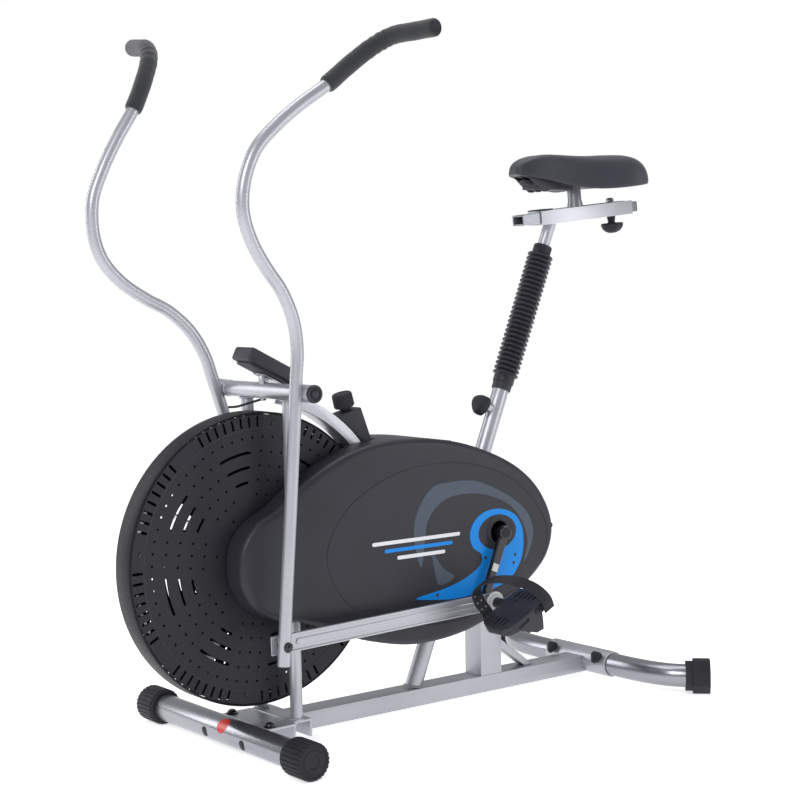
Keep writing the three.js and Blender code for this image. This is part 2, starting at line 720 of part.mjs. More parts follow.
// Each link bar is drawn along X from its lever bolt to its pedal pin.
function linkBar(bolt, pin) {
  const bar = corners([
    [-17, -LINK.half], [linkLength + 12, -LINK.half], [linkLength + 17, -9], [linkLength + 17, 9],
    [linkLength + 12, LINK.half], [-17, LINK.half],
  ]);
  const shape = cut(
    plate(bar, -LINK.outer, -LINK.inner),
    rod([0, -140, 0], [0, -60, 0], 4.4, 16),
    rod([linkLength, -140, 0], [linkLength, -60, 0], 7.5, 24),
  );
  const angle = Math.atan2(pin[1] - bolt[1], pin[0] - bolt[0]);
  return shape.rotateY(-angle).translate(bolt[0], 0, bolt[1]);
}
add("left_link", linkBar([LOWER_BOLT.x, LOWER_BOLT.z], leftPin), silver);
add("right_link", mirrored(linkBar(rightBolt, rightPin)), silver);

// ---- Console and resistance ---------------------------------------------------------------------
const CONSOLE = { frontX: -343.5, frontZ: 696, length: 116, thick: 25, half: 29, tiltDeg: 26.6 };
const consoleAxis = [CONSOLE.frontX, 0, CONSOLE.frontZ];
function tilted(geometry) {
  return geometry.rotateY(radians(CONSOLE.tiltDeg)).translate(...consoleAxis);
}
const buttonHole = rod([96, 0, -3.4], [96, 0, 5], 8.5, 20);
add(
  "console",
  tilted(cut(block(0, CONSOLE.length, -CONSOLE.half, CONSOLE.half, -CONSOLE.thick, 0), buttonHole)),
  black,
);
add("console_button", tilted(rod([96, 0, -1.5], [96, 0, 1.2], 8, 20)), grey);
const consoleBracket = cut(
  joined(
    tilted(block(18, 92, -22, 22, -CONSOLE.thick - 2.8, -CONSOLE.thick - GAP)),
    block(-312, -296, -22, 22, 622, 649),
  ),
  rod(crossbarAxis(-60), crossbarAxis(60), CROSSBAR.radius + GAP, 24),
  tilted(block(0, CONSOLE.length, -40, 40, -CONSOLE.thick - GAP, 20)),
);
add("console_bracket", consoleBracket, silver);

const arcClear = rod(fanAxis(-60), fanAxis(60), ARC.outer + 0.6, 96);
add(
  "tension_housing",
  cut(plate(corners([[-160, 540], [-155, 566], [-109, 578], [-79, 500], [-74, 440]]), -18, 18), arcClear),
  black,
);
const knobFrom = [-131.5, 0, 573];
const knobAlong = new THREE.Vector3(-0.26, 0, 0.966);
const knobPoint = (d) => [knobFrom[0] + knobAlong.x * d, 0, knobFrom[2] + knobAlong.z * d];
add(
  "tension_knob",
  turned(
    [[0, 0], [10, 0], [10, 4], [18, 6], [19, 9], [18.5, 29], [16.5, 32], [0, 32]],
    knobPoint(0.6),
    knobPoint(40),
    18,
  ),
  rubber,
);

const cableLine = [
  [-341, 61, 587], [-330, 50, 588], [-314, 36, 594], [-300, 20, 600], [-297, 8, 602.2],
];
add("sensor_cable", swept(cableLine, polygon(1.6, 6), 14), rubber);

// ---- Seat ---------------------------------------------------------------------------------------
const seatFrame = (geometry) => geometry.rotateY(-radians(SEAT.tiltDeg)).translate(SEAT.x, 0, SEAT.z);
const postTop = 924;
const uChannel = corners([
  [-20, 0], [20, 0], [20, 27], [15, 27], [15, 24.5], [17, 24.5], [17, 3], [-17, 3], [-17, 24.5],
  [-15, 24.5], [-15, 27], [-20, 27],
]);
const channel = new THREE.ExtrudeGeometry(new THREE.Shape(uChannel), { depth: 252, bevelEnabled: false })
  .rotateX(Math.PI / 2)
  .rotateZ(Math.PI / 2)
  .translate(-37, 0, 0);
const CLAMP_X = 172; // clamp bolt's place along the slider
const clampSlot = block(CLAMP_X - 45, CLAMP_X + 35, -4.6, 4.6, -5, 3.2);
add(
  "seat_post",
  joined(
    seatFrame(cut(channel, clampSlot)),
    cut(
      rod(seatTubePoint(430), seatTubePoint(postTop), SEAT.postRadius, 24),
      seatFrame(block(-80, 120, -40, 40, 1.5, 60)),
    ),
  ),
  silver,
);
add(
  "seat_slider",
  cut(
    seatFrame(
      joined(
        cut(block(-82, 230, -16.6, 16.6, 3.4, 24.1), block(-83, 231, -13.6, 13.6, 6.4, 21.1)),
        block(-40, 200, -14.6, 14.6, 23, 27.8),
        turned(
          [[0, 0], [15.5, 0], [15.5, 4], [13.5, 12], [13.5, 70], [0, 70]],
          [74, 0, 27.5],
          [74, 0, 100],
          24,
        ),
        turned([[0, 0], [8, 0], [8, 6], [5, 9], [0, 9]], [CLAMP_X, 0, 27.5], [CLAMP_X, 0, 60], 6),
        rod([CLAMP_X, 0, -6], [CLAMP_X, 0, 8], 4, 16),
      ),
    ),
    block(300, 600, -60, 60, SADDLE.baseLow - GAP, 1100),
  ),
  silver,
);
add(
  "seat_clamp_knob",
  seatFrame(
    turned(
      [
        [4.4, -0.6], [9, -0.6], [7, -12], [7, -14], [22, -15], [22, -19], [17, -29], [9, -34], [0, -35],
        [0, -6.6], [4.4, -6.6], [4.4, -0.6],
      ].reverse(),
      [CLAMP_X, 0, 0],
      [CLAMP_X, 0, 60],
      16,
    ),
  ),
  rubber,
);

const saddlePlan = smoothOutline(
  [
    [280, 0], [284, -22], [305, -34], [350, -40], [400, -50], [440, -68], [475, -92], [510, -106], [540, -104],
    [557, -80], [560, 0], [557, 80], [540, 104], [510, 106], [475, 92], [440, 68], [400, 50], [350, 40],
    [305, 34], [284, 22],
  ],
  32,
);
function levelPlate(outline, low, high) {
  return new THREE.ExtrudeGeometry(new THREE.Shape(outline), { depth: high - low, bevelEnabled: false })
    .translate(0, 0, low);
}
add(
  "saddle_base",
  joined(
    levelPlate(inset(saddlePlan, 24), SADDLE.baseLow, SADDLE.baseHigh),
    block(322, 412, -20, 20, SADDLE.baseLow - 9, SADDLE.baseLow + 2),
  ),
  black,
);
const cushion = new THREE.ExtrudeGeometry(new THREE.Shape(inset(saddlePlan, 10)), {
  depth: SADDLE.top - SADDLE.baseHigh - 22,
  bevelThickness: 11,
  bevelSize: 10,
  bevelSegments: 2,
}).translate(0, 0, SADDLE.baseHigh + GAP + 11);
add("saddle", cushion, vinyl);

const bellowsFrom = seatTubePoint(603);
const CONVOLUTIONS = 27;
const PITCH = 9.5;
const bellowsProfile = [[17.2, 0], [20.5, 0], [20.5, 14]];
for (let i = 0; i < CONVOLUTIONS; i += 1) {
  bellowsProfile.push([24, 14 + PITCH * (i + 0.5)], [19, 14 + PITCH * (i + 1)]);
}
bellowsProfile.push([17.5, 275], [17.5, 288], [12.9, 288], [12.9, 277], [17.2, 275], [17.2, 0]);
add("seat_bellows", turned(bellowsProfile, bellowsFrom, seatTubePoint(800), 12), rubber);
add(
  "seat_pin_knob",
  turned(
    [[0, 12.6], [4, 12.6], [4, 26], [8, 27], [19, 29], [21, 33], [21, 44], [17, 49], [0, 50]],
    pinPoint(0),
    pinPoint(10),
    16,
  ),
  rubber,
);

for (const mesh of group.children) mesh.geometry.translate(-MIDDLE_X, 0, 0);

export default group;
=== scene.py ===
"""Looks for the air bike: smooth tubes, moulded covers, a padded saddle and studio light."""
import json
import math

import bmesh
import bpy
from mathutils import Matrix, Vector, noise


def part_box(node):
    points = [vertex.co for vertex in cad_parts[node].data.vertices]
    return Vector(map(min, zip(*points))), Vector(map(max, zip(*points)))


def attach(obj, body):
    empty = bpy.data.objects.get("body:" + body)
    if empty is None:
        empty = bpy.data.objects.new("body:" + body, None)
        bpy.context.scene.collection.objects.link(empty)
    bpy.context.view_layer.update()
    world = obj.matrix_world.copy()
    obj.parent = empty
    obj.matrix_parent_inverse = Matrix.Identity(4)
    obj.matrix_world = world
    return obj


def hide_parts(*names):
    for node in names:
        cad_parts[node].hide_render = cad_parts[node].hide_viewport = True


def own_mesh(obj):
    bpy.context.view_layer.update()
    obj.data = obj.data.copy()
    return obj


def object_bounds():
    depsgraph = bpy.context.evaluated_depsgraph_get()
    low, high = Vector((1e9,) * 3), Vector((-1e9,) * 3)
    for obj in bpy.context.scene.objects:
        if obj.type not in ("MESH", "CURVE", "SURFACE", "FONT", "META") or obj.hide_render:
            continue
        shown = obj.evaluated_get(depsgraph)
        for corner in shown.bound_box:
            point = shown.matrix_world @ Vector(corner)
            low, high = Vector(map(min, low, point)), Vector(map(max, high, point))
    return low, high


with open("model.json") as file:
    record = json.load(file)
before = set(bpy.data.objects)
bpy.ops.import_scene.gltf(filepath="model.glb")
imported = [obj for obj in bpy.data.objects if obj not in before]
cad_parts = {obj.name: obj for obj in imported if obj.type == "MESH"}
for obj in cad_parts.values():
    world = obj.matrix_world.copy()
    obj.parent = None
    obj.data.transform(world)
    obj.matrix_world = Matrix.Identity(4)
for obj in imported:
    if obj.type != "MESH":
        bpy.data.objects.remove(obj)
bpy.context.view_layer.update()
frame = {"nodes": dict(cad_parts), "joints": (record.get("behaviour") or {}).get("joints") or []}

MM = 0.001
SIDES = (("left", -1), ("right", 1))


# ---- Places read from the frame -----------------------------------------------------------------
def joint(name):
    return next(j for j in frame["joints"] if j["name"] == name)


def joint_place(name):
    return in_middle(Vector(joint(name)["pos_m"]))


def joint_axis(name):
    return Vector(joint(name)["axis"]).normalized()


def centre(node):
    low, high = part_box(node)
    return (low + high) / 2


def in_middle(point):
    """The point moved straight to the middle plane."""
    return Vector((point.x, 0, point.z))


def mm(x, y, z):
    return Vector((x, y, z)) * MM


PIVOT = joint_place("left_lever_swing")
CRANK = joint_place("crank_spin")
HUB = joint_place("fan_spin")
SEAT_LINE = joint_axis("seat_height")
SEAT_ALONG = joint_axis("seat_slide")
SEAT_UP = joint_axis("seat_clamp_turn")
SEAT_TUBE_TOP = Vector((CRANK.x + 0.0832, 0, 0.612))
Y_AXIS = Vector((0, 1, 0))


def seat_line_point(z):
    """The point on the seat tube's axis at a height in metres."""
    return SEAT_TUBE_TOP + SEAT_LINE * ((z - SEAT_TUBE_TOP.z) / SEAT_LINE.z)


# ---- Materials ----------------------------------------------------------------------------------
METAL_SPECULAR = 0.5
PLASTIC_SPECULAR = 0.28
COAT_ROUGHNESS = 0.25
PATCH_SCALE = 14
GRAIN_DEPTH = 0.0004


def surface(name, colour, roughness, metallic=0.0, grain=900, relief=0.08, patch=0.12, coat=0.0,
            kind="noise", sheen=0.0, stretch=(1, 1, 1)):
    """A procedural finish: colour patches, a varied gloss and a fine grain."""
    made = bpy.data.materials.new(name)
    made.use_nodes = True
    nodes, links = made.node_tree.nodes, made.node_tree.links
    shader = nodes["Principled BSDF"]
    shader.inputs["Metallic"].default_value = metallic
    shader.inputs["Specular IOR Level"].default_value = METAL_SPECULAR if metallic > 0.5 else PLASTIC_SPECULAR
    shader.inputs["Coat Weight"].default_value = coat
    shader.inputs["Coat Roughness"].default_value = COAT_ROUGHNESS
    shader.inputs["Sheen Weight"].default_value = sheen
    place = nodes.new("ShaderNodeTexCoord")
    scale = nodes.new("ShaderNodeMapping")
    scale.inputs["Scale"].default_value = stretch
    links.new(place.outputs["Object"], scale.inputs["Vector"])

    coarse = nodes.new("ShaderNodeTexNoise")
    coarse.inputs["Scale"].default_value = PATCH_SCALE
    coarse.inputs["Detail"].default_value = 5
    links.new(scale.outputs["Vector"], coarse.inputs["Vector"])
    ramp = nodes.new("ShaderNodeValToRGB")
    ramp.color_ramp.elements[0].position = 0.3
    ramp.color_ramp.elements[1].position = 0.7
    ramp.color_ramp.elements[0].color = (*[c * (1 - patch) for c in colour], 1)
    ramp.color_ramp.elements[1].color = (*[min(1, c * (1 + patch)) for c in colour], 1)
    links.new(coarse.outputs["Fac"], ramp.inputs["Fac"])
    links.new(ramp.outputs["Color"], shader.inputs["Base Color"])
    gloss = nodes.new("ShaderNodeMapRange")
    gloss.inputs["To Min"].default_value = roughness * 0.85
    gloss.inputs["To Max"].default_value = min(1, roughness * 1.15)
    links.new(coarse.outputs["Fac"], gloss.inputs["Value"])
    links.new(gloss.outputs["Result"], shader.inputs["Roughness"])

    if kind == "noise":
        fine = nodes.new("ShaderNodeTexNoise")
        fine.inputs["Detail"].default_value = 3
        height = fine.outputs["Fac"]
    else:
        fine = nodes.new("ShaderNodeTexVoronoi")
        fine.feature = "F1" if kind == "pebble" else "DISTANCE_TO_EDGE"
        height = fine.outputs["Distance"]
    fine.inputs["Scale"].default_value = grain
    links.new(scale.outputs["Vector"], fine.inputs["Vector"])
    bump = nodes.new("ShaderNodeBump")
    bump.inputs["Strength"].default_value = relief
    bump.inputs["Distance"].default_value = GRAIN_DEPTH
    links.new(height, bump.inputs["Height"])
    links.new(bump.outputs["Normal"], shader.inputs["Normal"])
    return made


PAINT = surface("silver powder coat", (0.43, 0.435, 0.475), 0.36, 0.65, grain=1500,
                relief=0.03, patch=0.04, coat=0.15)
TUBE = surface("polished tube", (0.31, 0.314, 0.345), 0.26, 0.9, grain=1300, relief=0.04,
               patch=0.05, stretch=(1, 0.1, 1))
SLIDER = surface("zinc-plated slider", (0.26, 0.266, 0.295), 0.34, 0.75, grain=1300,
                 relief=0.05, patch=0.06)
STEEL = surface("machined steel", (0.42, 0.42, 0.45), 0.3, 1.0, grain=1300, relief=0.08)
WELD = surface("weld bead", (0.44, 0.45, 0.49), 0.42, 0.75, grain=500, relief=0.35)
DARK = surface("black chrome", (0.030, 0.030, 0.034), 0.2, 0.85, grain=1200, relief=0.05,
               coat=0.4)
PLASTIC = surface("matte black moulding", (0.028, 0.028, 0.036), 0.46, grain=2200,
                  relief=0.22, patch=0.10)
CASING = surface("cover moulding", (0.025, 0.025, 0.033), 0.40, grain=1800, relief=0.16,
                 patch=0.08)
GRILLE = surface("cage moulding", (0.015, 0.015, 0.021), 0.48, grain=2200, relief=0.22,
                 patch=0.10)
MESHED = surface("meshed rim", (0.007, 0.007, 0.010), 0.5, grain=330, relief=0.9,
                 kind="pebble")
RUBBER = surface("black rubber", (0.016, 0.016, 0.022), 0.58, grain=1100, relief=0.25,
                 patch=0.15)
BELLOWS = surface("bellows rubber", (0.022, 0.022, 0.029), 0.38, grain=700, relief=0.12)
FOAM = surface("grip foam", (0.022, 0.023, 0.027), 0.82, grain=1500, relief=0.7,
               kind="pebble", sheen=0.3)
VINYL = surface("saddle vinyl", (0.031, 0.032, 0.042), 0.44, grain=620, relief=0.4,
                kind="cells", sheen=0.15)
GREY = surface("grey plastic", (0.24, 0.25, 0.27), 0.4, grain=1500, relief=0.1)
PALE = surface("pale plastic", (0.62, 0.62, 0.63), 0.42, grain=1500, relief=0.1)
BLUE = surface("blue print", (0.0, 0.225, 0.70), 0.42, grain=1800, relief=0.12, patch=0.04)
SLATE = surface("slate print", (0.060, 0.080, 0.110), 0.36, grain=1800, relief=0.12,
                patch=0.05)
WHITE = surface("white print", (0.72, 0.73, 0.76), 0.35, grain=1800, relief=0.12, patch=0.03)
RED = surface("red sticker", (0.55, 0.012, 0.010), 0.3, grain=1200, relief=0.06, coat=0.4)
SCREEN = surface("display window", (0.16, 0.19, 0.17), 0.12, grain=1200, relief=0.02,
                 coat=0.6)


# ---- Mesh helpers -------------------------------------------------------------------------------
def linked(name, data):
    made = bpy.data.objects.new(name, data)
    bpy.context.scene.collection.objects.link(made)
    return made


def applied(holder):
    """The mesh of an object with its modifiers applied; the object goes."""
    mesh = bpy.data.meshes.new_from_object(holder.evaluated_get(bpy.context.evaluated_depsgraph_get()))
    bpy.data.objects.remove(holder)
    return mesh


def piece(name, mesh, look, body="frame", nodes=(), sharp=38):
    """Names a mesh, gives it its finish, lets it move with a CAD body and stand for CAD nodes."""
    mesh.materials.clear()
    mesh.materials.append(look)
    for polygon in mesh.polygons:
        polygon.use_smooth = True
    mesh.set_sharp_from_angle(angle=math.radians(sharp))
    made = linked(name, mesh)
    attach(made, body)
    if nodes:
        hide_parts(*nodes)
    return made


def stand_in(node, mesh, look, body="frame", sharp=38):
    """A better piece in place of one CAD node."""
    return piece(f"{node}_shown", mesh, look, body, [node], sharp)


def mesh_of(shape):
    bmesh.ops.recalc_face_normals(shape, faces=shape.faces)
    mesh = bpy.data.meshes.new("mesh")
    shape.to_mesh(mesh)
    shape.free()
    return mesh


def bridged(rings, is_loop=False):
    """Joins equal rings of points with quads; an end ring of one point makes a pole."""
    shape = bmesh.new()
    made = [[shape.verts.new(p) for p in ring] for ring in (rings[:-1] if is_loop else rings)]
    if is_loop:
        made.append(made[0])
    for one, two in zip(made, made[1:]):
        count = max(len(one), len(two))
        for i in range(count):
            k = (i + 1) % count
            corners = [one[i % len(one)], one[k % len(one)], two[k % len(two)], two[i % len(two)]]
            corners = list(dict.fromkeys(corners))
            if len(corners) > 2:
                shape.faces.new(corners)
    if not is_loop:
        for ring in (made[0], made[-1]):
            if len(ring) > 2:
                shape.faces.new(ring)
    return mesh_of(shape)


def cross_axes(direction):
    side = direction.cross(Y_AXIS if abs(direction.y) < 0.9 else Vector((1, 0, 0))).normalized()
    return side, direction.cross(side).normalized()


def lathe(profile, origin, direction, sides=48, reach=None, floor=None):
    """Turns (radius, distance) pairs in mm about a line; reach may change the radius at an angle."""
    direction = Vector(direction).normalized()
    first, second = cross_axes(direction)
    rings = []
    for radius, distance in profile:
        middle = Vector(origin) + direction * distance * MM
        if radius <= 0:
            rings.append([middle])
            continue
        ring = []
        for i in range(sides):
            angle = 2 * math.pi * i / sides
            r = (reach(angle, radius, distance) if reach else radius) * MM
            p = middle + (first * math.cos(angle) + second * math.sin(angle)) * r
            if floor is not None:
                p.z = max(p.z, floor)
            ring.append(p)
        rings.append(ring)
    is_ring = profile[0] == profile[-1] and profile[0][0] > 0
    return bridged(rings[:-1] + rings[:1] if is_ring else rings, is_ring)


def waves(count, depth, inner=0, low=-math.inf, high=math.inf):
    """A reach for lathe: waves round the part outside a radius and between two distances."""
    def reach(angle, radius, distance):
        is_waved = radius > inner and low < distance < high
        return radius * (1 + depth * math.cos(count * angle)) if is_waved else radius
    return reach


def grooves(count, depth, inner, low, high, threshold=0.0):
    """A reach for lathe: grooves along the part outside a radius; a higher threshold makes them narrower."""
    def reach(angle, radius, distance):
        is_cut = radius > inner and low < distance < high and math.sin(count * angle) > threshold
        return radius - depth if is_cut else radius
    return reach


def rod_mesh(start, end, radius, sides=40):
    start, end = Vector(start), Vector(end)
    length = (end - start).length / MM
    return lathe([(0, 0), (radius, 0), (radius, length), (0, length)], start, end - start, sides)


def rounded(radius, length, edge, hollow=0):
    """The profile of a rod with rounded ends, or of a ring when hollow has a radius."""
    arc = [(math.sin(a) * edge, edge - math.cos(a) * edge) for a in (0, 0.5, 1.0, math.pi / 2)]
    start = [(radius - edge + s, c) for s, c in arc]
    end = [(radius - edge + s, length - c) for s, c in reversed(arc)]
    if hollow:
        return [(hollow, 0), *start, *end, (hollow, length), (hollow, 0)]
    return [(0, 0), *start, *end, (0, length)]


def smooth_line(points, per_span=8):
    """Centripetal curve through the points, with the same number of steps in each span."""
    points = [Vector(p) for p in points]
    ends = [points[0] * 2 - points[1], *points, points[-1] * 2 - points[-2]]
    line = []
    for a, b, c, d in zip(ends, ends[1:], ends[2:], ends[3:]):
        gaps = [math.sqrt((q - p).length) for p, q in ((a, b), (b, c), (c, d))]
        t1 = gaps[0]
        t2 = t1 + gaps[1]
        t3 = t2 + gaps[2]
        for i in range(per_span):
            t = t1 + (t2 - t1) * i / per_span
            ab = a.lerp(b, t / t1)
            bc = b.lerp(c, (t - t1) / (t2 - t1))
            cd = c.lerp(d, (t - t2) / (t3 - t2))
            line.append(ab.lerp(bc, t / t2).lerp(bc.lerp(cd, (t - t1) / (t3 - t1)), (t - t1) / (t2 - t1)))
    line.append(points[-1])
    return line


def tube(line, radius, sides=28, section=None, is_loop=False):
    """A bar along a line. radius is in mm, or a function of the share of the way along."""
    radius_at = radius if callable(radius) else lambda share: radius
    direction = (line[1] - line[0]).normalized()
    side, _ = cross_axes(direction)
    rings = []
    for i, point in enumerate(line):
        if is_loop:
            ahead = line[(i + 1) % len(line)] - line[i - 1]
        else:
            ahead = line[min(i + 1, len(line) - 1)] - line[max(i - 1, 0)]
        ahead.normalize()
        side = (side - ahead * side.dot(ahead)).normalized()
        other = ahead.cross(side)
        r = radius_at(i / (len(line) - 1)) * MM
        if section:
            ring = [point + side * u * MM + other * v * MM for u, v in section]
        else:
            turns = [2 * math.pi * k / sides for k in range(sides)]
            ring = [point + (side * math.cos(a) + other * math.sin(a)) * r for a in turns]
        rings.append(ring)
    return bridged(rings + rings[:1] if is_loop else rings, is_loop)


def stadium(x0, x1, half, steps=6):
    """Outline of a slot with round ends, along X."""
    right = [(x1 - half + half * math.sin(a), -half * math.cos(a)) for a in half_turn(steps)]
    left = [(x0 + half - half * math.sin(a), half * math.cos(a)) for a in half_turn(steps)]
    return right + left


def half_turn(steps):
    return [math.pi * i / steps for i in range(steps + 1)]


def circle(x, z, radius, sides=24):
    return [(x + radius * math.cos(2 * math.pi * i / sides), z + radius * math.sin(2 * math.pi * i / sides))
            for i in range(sides)]


def sheet_mesh(outlines, y_low, y_high, edge, origin):
    """A flat plate with rounded edges: an outline and its holes in X and Z, in mm, thick along Y."""
    data = bpy.data.curves.new("outline", "CURVE")
    data.dimensions = "2D"
    data.fill_mode = "BOTH"
    data.extrude = (y_high - y_low) / 2 * MM - edge * MM
    data.bevel_depth = edge * MM
    data.bevel_resolution = 1
    data.offset = -edge * MM
    for outline in outlines:
        spline = data.splines.new("POLY")
        spline.points.add(len(outline) - 1)
        for point, (x, z) in zip(spline.points, outline):
            point.co = (x * MM, z * MM, 0, 1)
        spline.use_cyclic_u = True
    mesh = applied(linked("outline", data))
    mesh.transform(Matrix.Rotation(math.pi / 2, 4, "X"))
    mesh.transform(Matrix.Translation(Vector(origin) + mm(0, (y_low + y_high) / 2, 0)))
    return mesh


def cut_away(mesh, tools, how="DIFFERENCE"):
    """Takes other closed meshes out of a mesh, or keeps only what lies inside them."""
    target = linked("target", mesh)
    helpers = []
    for tool in tools:
        helpers.append(linked("tool", tool))
        step = target.modifiers.new("cut", "BOOLEAN")
        step.object = helpers[-1]
        step.operation = how
        step.solver = "EXACT"
    result = applied(target)
    for helper in helpers:
        bpy.data.objects.remove(helper)
    return result


def brick(low, high):
    shape = bmesh.new()
    bmesh.ops.create_cube(shape, size=1)
    size = Vector(high) - Vector(low)
    bmesh.ops.scale(shape, vec=size, verts=shape.verts)
    bmesh.ops.translate(shape, vec=(Vector(high) + Vector(low)) / 2, verts=shape.verts)
    return mesh_of(shape)


def soften(mesh, width, segments=3, limit=40):
    """Rounds the sharp edges of a mesh."""
    holder = linked("soft", mesh)
    step = holder.modifiers.new("edges", "BEVEL")
    step.width = width * MM
    step.segments = segments
    step.limit_method = "ANGLE"
    step.angle_limit = math.radians(limit)
    step.harden_normals = False
    return applied(holder)


def soft_brick(low, high, width, segments=2):
    """A block between two corners in mm, with rounded edges."""
    return soften(brick(mm(*low), mm(*high)), width, segments)


def plate(outlines, sign, inner, outer, edge):
    """A sheet_mesh about the origin between two distances in mm from the middle plane, on one side."""
    return sheet_mesh(outlines, *sorted((sign * inner, sign * outer)), edge, (0, 0, 0))


def refined(node, look, body, width=1.2, limit=40):
    """The CAD node again, with its flat faces whole and its edges rounded."""
    shape = bmesh.new()
    shape.from_mesh(frame["nodes"][node].data)
    bmesh.ops.remove_doubles(shape, verts=shape.verts, dist=2e-6)
    bmesh.ops.dissolve_limit(shape, angle_limit=math.radians(1.5), verts=shape.verts, edges=shape.edges)
    return stand_in(node, soften(mesh_of(shape), width, limit=limit), look, body)


def joined_mesh(meshes):
    shape = bmesh.new()
    for mesh in meshes:
        shape.from_mesh(mesh)
    whole = bpy.data.meshes.new("joined")
    shape.to_mesh(whole)
    shape.free()
    return whole


def weld(name, middle, direction, radius, thick=2.6):
    """A weld bead: an uneven ring round a tube where it meets another."""
    half_round = [math.pi * (i / 5 - 0.5) for i in range(6)]
    profile = [(radius + thick * math.cos(a), thick * 0.8 * math.sin(a)) for a in half_round]
    profile = [(radius - 1, profile[0][1]), *profile, (radius - 1, profile[-1][1])]

    def ripple(angle, r, distance):
        return r + 0.35 * math.sin(34 * angle) + 0.25 * math.sin(13 * angle + 1)

    return piece(name, lathe(profile, middle, direction, 120, ripple), WELD)


# ---- Camera, floor and light --------------------------------------------------------------------
AZIMUTH, ELEVATION, ROLL = math.radians(-37.81), math.radians(3.93), math.radians(-0.885)
DISTANCE = 3.1143
AIM = Vector((-0.0114, 0, 0.5842))
SENSOR = 36
LENS = 75.62


def set_camera():
    back = Vector((
        math.sin(AZIMUTH) * math.cos(ELEVATION),
        -math.cos(AZIMUTH) * math.cos(ELEVATION),
        math.sin(ELEVATION),
    ))
    level = Vector((math.cos(AZIMUTH), math.sin(AZIMUTH), 0))
    upright = back.cross(level)
    right = level * math.cos(ROLL) + upright * math.sin(ROLL)
    up = upright * math.cos(ROLL) - level * math.sin(ROLL)
    data = bpy.data.cameras.new("camera")
    data.lens = LENS
    data.sensor_width = SENSOR
    camera = linked("camera", data)
    turn = Matrix((right, up, back)).transposed().to_4x4()
    camera.matrix_world = Matrix.Translation(AIM + back * DISTANCE) @ turn
    bpy.context.scene.camera = camera


def add_light(name, place, size, power, aim=(0, 0, 0.55)):
    data = bpy.data.lights.new(name, "AREA")
    data.shape = "RECTANGLE"
    data.size, data.size_y = size
    data.energy = power
    lamp = linked(name, data)
    lamp.location = place
    lamp.rotation_euler = (Vector(aim) - Vector(place)).to_track_quat("-Z", "Y").to_euler()


ROOM_LIGHT = 0.45
FLOOR_GLOW = 0.62
FLOOR_HALF = 60
FLOOR_GAP = 0.0005
# Each studio light: its place, its size and its power in watts.
LIGHTS = {
    "key": ((-3.0, -1.6, 2.6), (1.4, 1.8), 55),
    "fill": ((2.4, -2.6, 1.6), (0.9, 2.4), 26),
    "top": ((0.1, 0.5, 3.0), (2.2, 1.2), 26),
    "rim": ((-1.8, 2.6, 1.6), (0.8, 2.4), 24),
}


def set_floor():
    shape = bmesh.new()
    bmesh.ops.create_grid(shape, x_segments=1, y_segments=1, size=FLOOR_HALF)
    bmesh.ops.translate(shape, vec=(0, 0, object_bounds()[0].z - FLOOR_GAP), verts=shape.verts)
    floor = linked("floor", mesh_of(shape))
    look = surface("floor", (0.90, 0.90, 0.90), 0.8, grain=60, relief=0.01, patch=0.005)
    glow = look.node_tree.nodes["Principled BSDF"].inputs
    glow["Emission Color"].default_value = (1, 1, 1, 1)
    glow["Emission Strength"].default_value = FLOOR_GLOW
    floor.data.materials.append(look)


def set_studio():
    """White behind the object, a dimmer room light on it, and four soft lights."""
    world = bpy.data.worlds.new("studio")
    world.use_nodes = True
    nodes, links = world.node_tree.nodes, world.node_tree.links
    room = nodes["Background"]
    room.inputs["Color"].default_value = (0.97, 0.98, 1, 1)
    room.inputs["Strength"].default_value = ROOM_LIGHT
    backdrop = nodes.new("ShaderNodeBackground")
    backdrop.inputs["Color"].default_value = (1, 1, 1, 1)
    backdrop.inputs["Strength"].default_value = 1.0
    ray = nodes.new("ShaderNodeLightPath")
    either = nodes.new("ShaderNodeMixShader")
    links.new(ray.outputs["Is Camera Ray"], either.inputs["Fac"])
    links.new(room.outputs["Background"], either.inputs[1])
    links.new(backdrop.outputs["Background"], either.inputs[2])
    links.new(either.outputs["Shader"], nodes["World Output"].inputs["Surface"])
    bpy.context.scene.world = world
    bpy.context.scene.view_settings.view_transform = "Standard"
    for name, (place, size, power) in LIGHTS.items():
        add_light(name, place, size, power)


# ---- Levers and grips ---------------------------------------------------------------------------
# The lever's centre line in mm from the pivot; y is the distance from the middle plane.
LEVER_LINE = [
    (-56, 126, -457), (-47, 126, -337), (-37, 126, -211), (-28, 126, -94), (-19.5, 126, 24), (-16.5, 127, 73),
    (-25, 129, 124), (-49, 132, 173), (-79, 135, 209), (-109, 138, 253), (-126, 140, 300), (-124, 141, 347),
    (-101, 141, 402), (-61, 142, 443), (-12, 144, 481), (38, 147, 514), (84, 155, 552), (120, 172, 582),
    (139, 200, 597), (152, 243, 600), (163, 287, 602),
]
GRIP_START = 15
SPAN_STEPS = 8
LEVER_RADIUS = 11
GRIP_RADIUS = 15.3
# Where a lever's turned parts start, in mm from the middle plane.
HUB_RING_FROM, HUB_RING_LENGTH = 111.4, 36.4
PIVOT_CAP_FROM = 148.3
BOLT_HEAD_FROM, BOLT_SHANK = 137.4, 24


def lever_turn(side):
    """The angle about the pivot from the left lever's place to this lever's place."""
    angles = []
    for bolt in ("left_lower_bolt", f"{side}_lower_bolt"):
        arm = centre(bolt) - PIVOT
        angles.append(math.atan2(arm.z, arm.x))
    return angles[0] - angles[1]


def foam_radius(share):
    """A soft sleeve: rounded ends, and folds where it is bent."""
    end = min(1, share / 0.025, (1 - share) / 0.02)
    fold = math.exp(-((share - 0.46) / 0.16) ** 2)
    ripple = 0.45 * fold * math.sin(95 * share) + 0.12 * math.sin(41 * share)
    return GRIP_RADIUS - 2.2 * (1 - math.sqrt(max(0, 1 - (1 - end) ** 2))) + ripple


